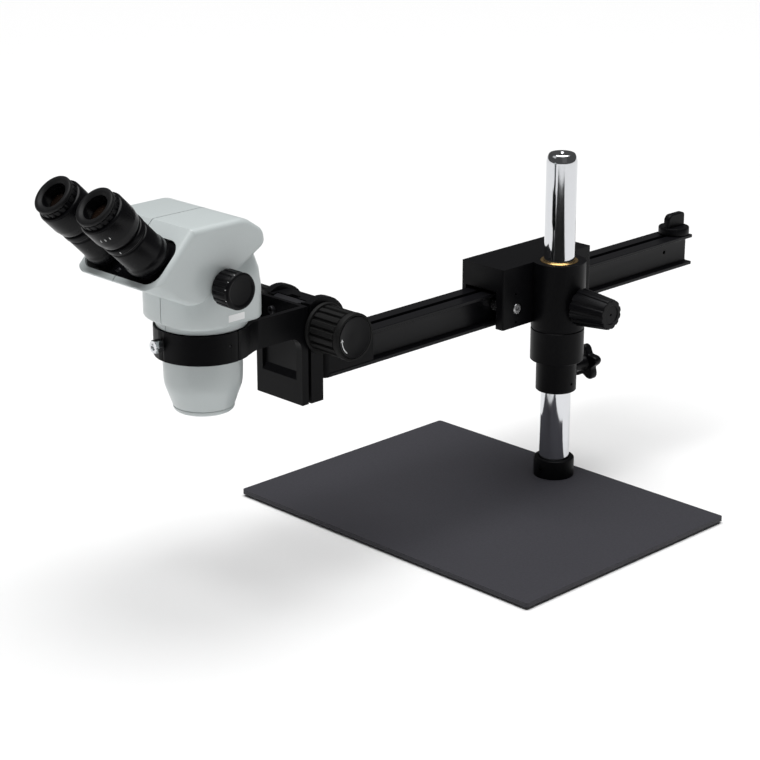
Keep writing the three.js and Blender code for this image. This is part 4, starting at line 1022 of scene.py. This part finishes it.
def build_eye_details(axes, name):
    outline = grip(20, 19.4, 18.5, 0.7, 16)
    ring = loft(axes, [(74.2, trimmed(outline, 18.4)), (74.6, outline), (79.0, outline),
                       (79.4, trimmed(outline, 18.6))])
    bore = sweep(axes, circle(16.7, 96), 70, 85)
    place(f"diopter_grip_{name}", carve(ring, bore), f"diopter_{name}", "plastic",
          [f"diopter_ring_{name}"], sharp=40)
    cup = revolve(axes, [(16.7, 79.6), (18.9, 79.6), (19.3, 80), (19.3, 82.4), (18.9, 83.1), (18.3, 83.55),
                         (17.6, 83.7), (15.8, 83.7), (15.2, 83.6), (12.9, 81.8), (12.4, 81.2), (12.4, 80.9),
                         (16.7, 80.8)], 128, closed=True)
    place(f"soft_cup_{name}", cup, f"diopter_{name}", "cup", [f"eyecup_{name}"], sharp=50)
    lens = [(0, 66.6), (11.9, 68.2), (11.9, 70.5)]
    for i in range(7, -1, -1):
        radius = 11 * i / 8
        lens.append((radius, 72.4 - radius * radius * 0.012))
    # The lens finish is painted near black, as painted shade for the dark tube behind it.
    place(f"eye_glass_{name}", revolve(axes, lens, 96), f"tube_{name}", "eye glass",
          [f"eye_lens_{name}"])
    stop = revolve(axes, [(8.2, 65.9), (12, 65.9), (12, 66.3), (8.2, 66.3)], 72, closed=True)
    place(f"field_stop_{name}", stop, f"tube_{name}", "dark")
    marks = []
    for angle in (-70, -58, -46):
        marks.append(index_mark(axes, (21.93, 21.99), angle, 0.25, (60.7, 63.3)))
    marks.append(index_mark(axes, (20.63, 20.69), -58, 0.25, (39.7, 41.9)))
    place(f"tube_marks_{name}", gather(*marks), f"tube_{name}", "ink")


# ---- stage ----------------------------------------------------------------


def build_stage(studio):
    bm = bmesh.new()
    corners = [(-24, -24), (24, -24), (24, 24), (-24, 24)]
    bm.faces.new([bm.verts.new((u, v, 0)) for u, v in corners])
    bmesh.ops.subdivide_edges(bm, edges=bm.edges, cuts=15, use_grid_fill=True)
    mesh = bpy.data.meshes.new("studio_floor")
    bm.to_mesh(mesh)
    bm.free()
    mesh.materials.append(MATERIALS["floor"])
    floor = bpy.data.objects.new("studio_floor", mesh)
    bpy.context.scene.collection.objects.link(floor)
    add_flag()
    add_light("key_softbox", (-1.1, -1.5, 2.1), (0, 0, 0.2), 1.5, studio.key_power)
    add_light("fill_softbox", (2.4, -1.2, 1.5), (0, 0, 0.2), 1.8, studio.fill_power)
    add_light("top_softbox", (0.2, 0.5, 2.4), (0, 0, 0.1), 2.0, studio.top_power)
    ceiling = bpy.data.lights.new("ceiling_light", "SUN")
    ceiling.energy = studio.ceiling
    ceiling.angle = math.radians(55)
    obj = bpy.data.objects.new("ceiling_light", ceiling)
    obj.location = (0, 0, 3)
    bpy.context.scene.collection.objects.link(obj)
    world = bpy.context.scene.world or bpy.data.worlds.new("studio")
    bpy.context.scene.world = world
    world.use_nodes = True
    background = world.node_tree.nodes["Background"]
    background.inputs["Color"].default_value = (1, 1, 1, 1)
    background.inputs["Strength"].default_value = studio.surround
    bpy.context.scene.view_settings.view_transform = "Standard"
    add_camera(studio)


def add_flag():
    """A dark card beside the stand, low down, that polished metal reflects."""
    bm = bmesh.new()
    corners = [(-0.8, 0.6), (0.8, 0.6), (0.8, 1.8), (-0.8, 1.8)]
    along = Vector((0.676, -0.737, 0))
    across = Vector((0.737, 0.676, 0))
    bm.faces.new([bm.verts.new(across * u + along * v + Vector((0, 0, 0.004))) for u, v in corners])
    mesh = bpy.data.meshes.new("dark_flag")
    bm.to_mesh(mesh)
    bm.free()
    mesh.materials.append(MATERIALS["dark"])
    flag = bpy.data.objects.new("dark_flag", mesh)
    flag.visible_camera = False
    flag.visible_diffuse = False
    flag.visible_shadow = False
    bpy.context.scene.collection.objects.link(flag)


def add_light(name, position, target, size, power):
    lamp = bpy.data.lights.new(name, "AREA")
    lamp.shape = "SQUARE"
    lamp.size = size
    lamp.energy = power
    obj = bpy.data.objects.new(name, lamp)
    obj.location = position
    obj.rotation_euler = (Vector(target) - Vector(position)).to_track_quat("-Z", "Y").to_euler()
    bpy.context.scene.collection.objects.link(obj)


def add_camera(studio):
    lens = bpy.data.cameras.new("viewpoint")
    lens.sensor_width = 36
    lens.lens = studio.lens
    lens.clip_end = 60
    camera = bpy.data.objects.new("viewpoint", lens)
    camera.location = at(1412.5, -1539.1, 859.2)
    turn, drop = math.radians(45.353), math.radians(19.047)
    camera.rotation_euler = (math.pi / 2 - drop, 0, turn)
    bpy.context.scene.collection.objects.link(camera)
    bpy.context.scene.camera = camera


# ---- settings -------------------------------------------------------------


class MicroscopeSizes(bpy.types.PropertyGroup):
    """Sizes of small features that can be changed without touching the frame."""

    plate_edge: FloatProperty(name="Plate edge", description="Rounding of the base plate's edges",
                              default=0.0007, unit="LENGTH", subtype="DISTANCE")
    casting_edge: FloatProperty(name="Casting edge", description="Rounding of the castings' edges",
                                default=0.0008, unit="LENGTH", subtype="DISTANCE")
    seam_gap: FloatProperty(name="Seam gap", description="Gap between the two halves of the head",
                            default=0.0009, unit="LENGTH", subtype="DISTANCE")
    focus_ribs: IntProperty(name="Focus ribs", description="Ribs round each focus knob", default=18,
                            min=8, max=60)


class MicroscopeColors(bpy.types.PropertyGroup):
    """Paint colours."""

    head_paint: FloatVectorProperty(name="Head paint", description="Colour of the microscope head",
                                    default=(0.53, 0.574, 0.574), size=3, subtype="COLOR", min=0, max=1)
    black_paint: FloatVectorProperty(name="Casting paint", description="Colour of the stand's castings",
                                     default=(0.003, 0.003, 0.0036), size=3, subtype="COLOR", min=0, max=1)
    base_paint: FloatVectorProperty(name="Base paint", description="Colour of the base plate",
                                    default=(0.033, 0.0325, 0.038), size=3, subtype="COLOR", min=0, max=1)


class MicroscopeStudio(bpy.types.PropertyGroup):
    """Light and camera."""

    key_power: FloatProperty(name="Key light", description="Power of the front soft light", default=4,
                             unit="POWER")
    fill_power: FloatProperty(name="Fill light", description="Power of the right soft light", default=0.5,
                              unit="POWER")
    top_power: FloatProperty(name="Top light", description="Power of the overhead soft light", default=5,
                             unit="POWER")
    ceiling: FloatProperty(name="Ceiling light", description="Strength of the broad light above",
                           default=3.5, min=0)
    surround: FloatProperty(name="Surround", description="Brightness of the plain surround", default=0.08,
                            min=0)
    lens: FloatProperty(name="Lens", description="Focal length of the camera", default=103.01,
                        unit="CAMERA", min=10)


# ---- operators ------------------------------------------------------------


class MICROSCOPE_OT_materials(bpy.types.Operator):
    """Make every finish on the microscope"""

    bl_idname = "microscope.materials"
    bl_label = "Materials"

    def execute(self, context):
        make_materials(context.scene.microscope_colors)
        return {"FINISHED"}


class MICROSCOPE_OT_base(bpy.types.Operator):
    """Build the base plate, its feet and the post's screw"""

    bl_idname = "microscope.base"
    bl_label = "Base plate"

    def execute(self, context):
        build_base(context.scene.microscope_sizes)
        return {"FINISHED"}


class MICROSCOPE_OT_post(bpy.types.Operator):
    """Build the chrome post and its socket"""

    bl_idname = "microscope.post"
    bl_label = "Post"

    def execute(self, context):
        build_post()
        return {"FINISHED"}


class MICROSCOPE_OT_collar(bpy.types.Operator):
    """Build the support collar and its star knob"""

    bl_idname = "microscope.collar"
    bl_label = "Support collar"

    def execute(self, context):
        build_collar()
        build_star_knob()
        return {"FINISHED"}


class MICROSCOPE_OT_carrier(bpy.types.Operator):
    """Build the carrier with its bushes, rollers and clamp knob"""

    bl_idname = "microscope.carrier"
    bl_label = "Carrier"

    def execute(self, context):
        build_carrier()
        build_axles()
        build_bearings()
        build_clamp_knob()
        return {"FINISHED"}


class MICROSCOPE_OT_boom(bpy.types.Operator):
    """Build the sliding rail, its end block and its stop"""

    bl_idname = "microscope.boom"
    bl_label = "Boom"

    def execute(self, context):
        build_rail()
        build_rail_end()
        build_stop()
        return {"FINISHED"}


class MICROSCOPE_OT_focus(bpy.types.Operator):
    """Build the focus housing, pinion, knobs and slide"""

    bl_idname = "microscope.focus"
    bl_label = "Focus mount"

    def execute(self, context):
        build_focus_body()
        build_pinion(context.scene.microscope_sizes)
        build_slide()
        return {"FINISHED"}


class MICROSCOPE_OT_arm(bpy.types.Operator):
    """Build the arm that holds the head, with its screws"""

    bl_idname = "microscope.arm"
    bl_label = "Head arm"

    def execute(self, context):
        build_arm(context.scene.microscope_sizes)
        return {"FINISHED"}


class MICROSCOPE_OT_head(bpy.types.Operator):
    """Build the nosepiece, the two shells, the panel and the zoom knobs"""

    bl_idname = "microscope.head"
    bl_label = "Head"

    def execute(self, context):
        build_nosepiece()
        build_shells(context.scene.microscope_sizes)
        build_panel()
        build_zoom()
        return {"FINISHED"}


class MICROSCOPE_OT_eyepieces(bpy.types.Operator):
    """Build the eye tubes, eyepieces, diopter rings and eyecups"""

    bl_idname = "microscope.eyepieces"
    bl_label = "Eyepieces"

    def execute(self, context):
        build_tubes()
        return {"FINISHED"}


class MICROSCOPE_OT_stage(bpy.types.Operator):
    """Set up the floor, the soft lights and the camera"""

    bl_idname = "microscope.stage"
    bl_label = "Stage"

    def execute(self, context):
        build_stage(context.scene.microscope_studio)
        return {"FINISHED"}


OPERATORS = (
    MICROSCOPE_OT_materials,
    MICROSCOPE_OT_stage,
    MICROSCOPE_OT_base,
    MICROSCOPE_OT_post,
    MICROSCOPE_OT_collar,
    MICROSCOPE_OT_carrier,
    MICROSCOPE_OT_boom,
    MICROSCOPE_OT_focus,
    MICROSCOPE_OT_arm,
    MICROSCOPE_OT_head,
    MICROSCOPE_OT_eyepieces,
)


class MICROSCOPE_PT_panel(bpy.types.Panel):
    """Lists the steps that build the microscope"""

    bl_idname = "MICROSCOPE_PT_panel"
    bl_label = "Stereo Microscope"
    bl_space_type = "VIEW_3D"
    bl_region_type = "UI"
    bl_category = "Microscope"

    def draw(self, context):
        scene = context.scene
        for owner in (scene.microscope_sizes, scene.microscope_colors, scene.microscope_studio):
            box = self.layout.box()
            for label in owner.__annotations__:
                box.prop(owner, label)
        for operator in OPERATORS:
            self.layout.operator(operator.bl_idname)


CLASSES = (MicroscopeSizes, MicroscopeColors, MicroscopeStudio, *OPERATORS, MICROSCOPE_PT_panel)


def register():
    for cls in CLASSES:
        bpy.utils.register_class(cls)
    bpy.types.Scene.microscope_sizes = PointerProperty(type=MicroscopeSizes)
    bpy.types.Scene.microscope_colors = PointerProperty(type=MicroscopeColors)
    bpy.types.Scene.microscope_studio = PointerProperty(type=MicroscopeStudio)


def unregister():
    del bpy.types.Scene.microscope_studio
    del bpy.types.Scene.microscope_colors
    del bpy.types.Scene.microscope_sizes
    for cls in reversed(CLASSES):
        bpy.utils.unregister_class(cls)


def main():
    register()
    for operator in OPERATORS:
        area, call = operator.bl_idname.split(".")
        getattr(getattr(bpy.ops, area), call)()


if __name__ == "__main__":
    main()
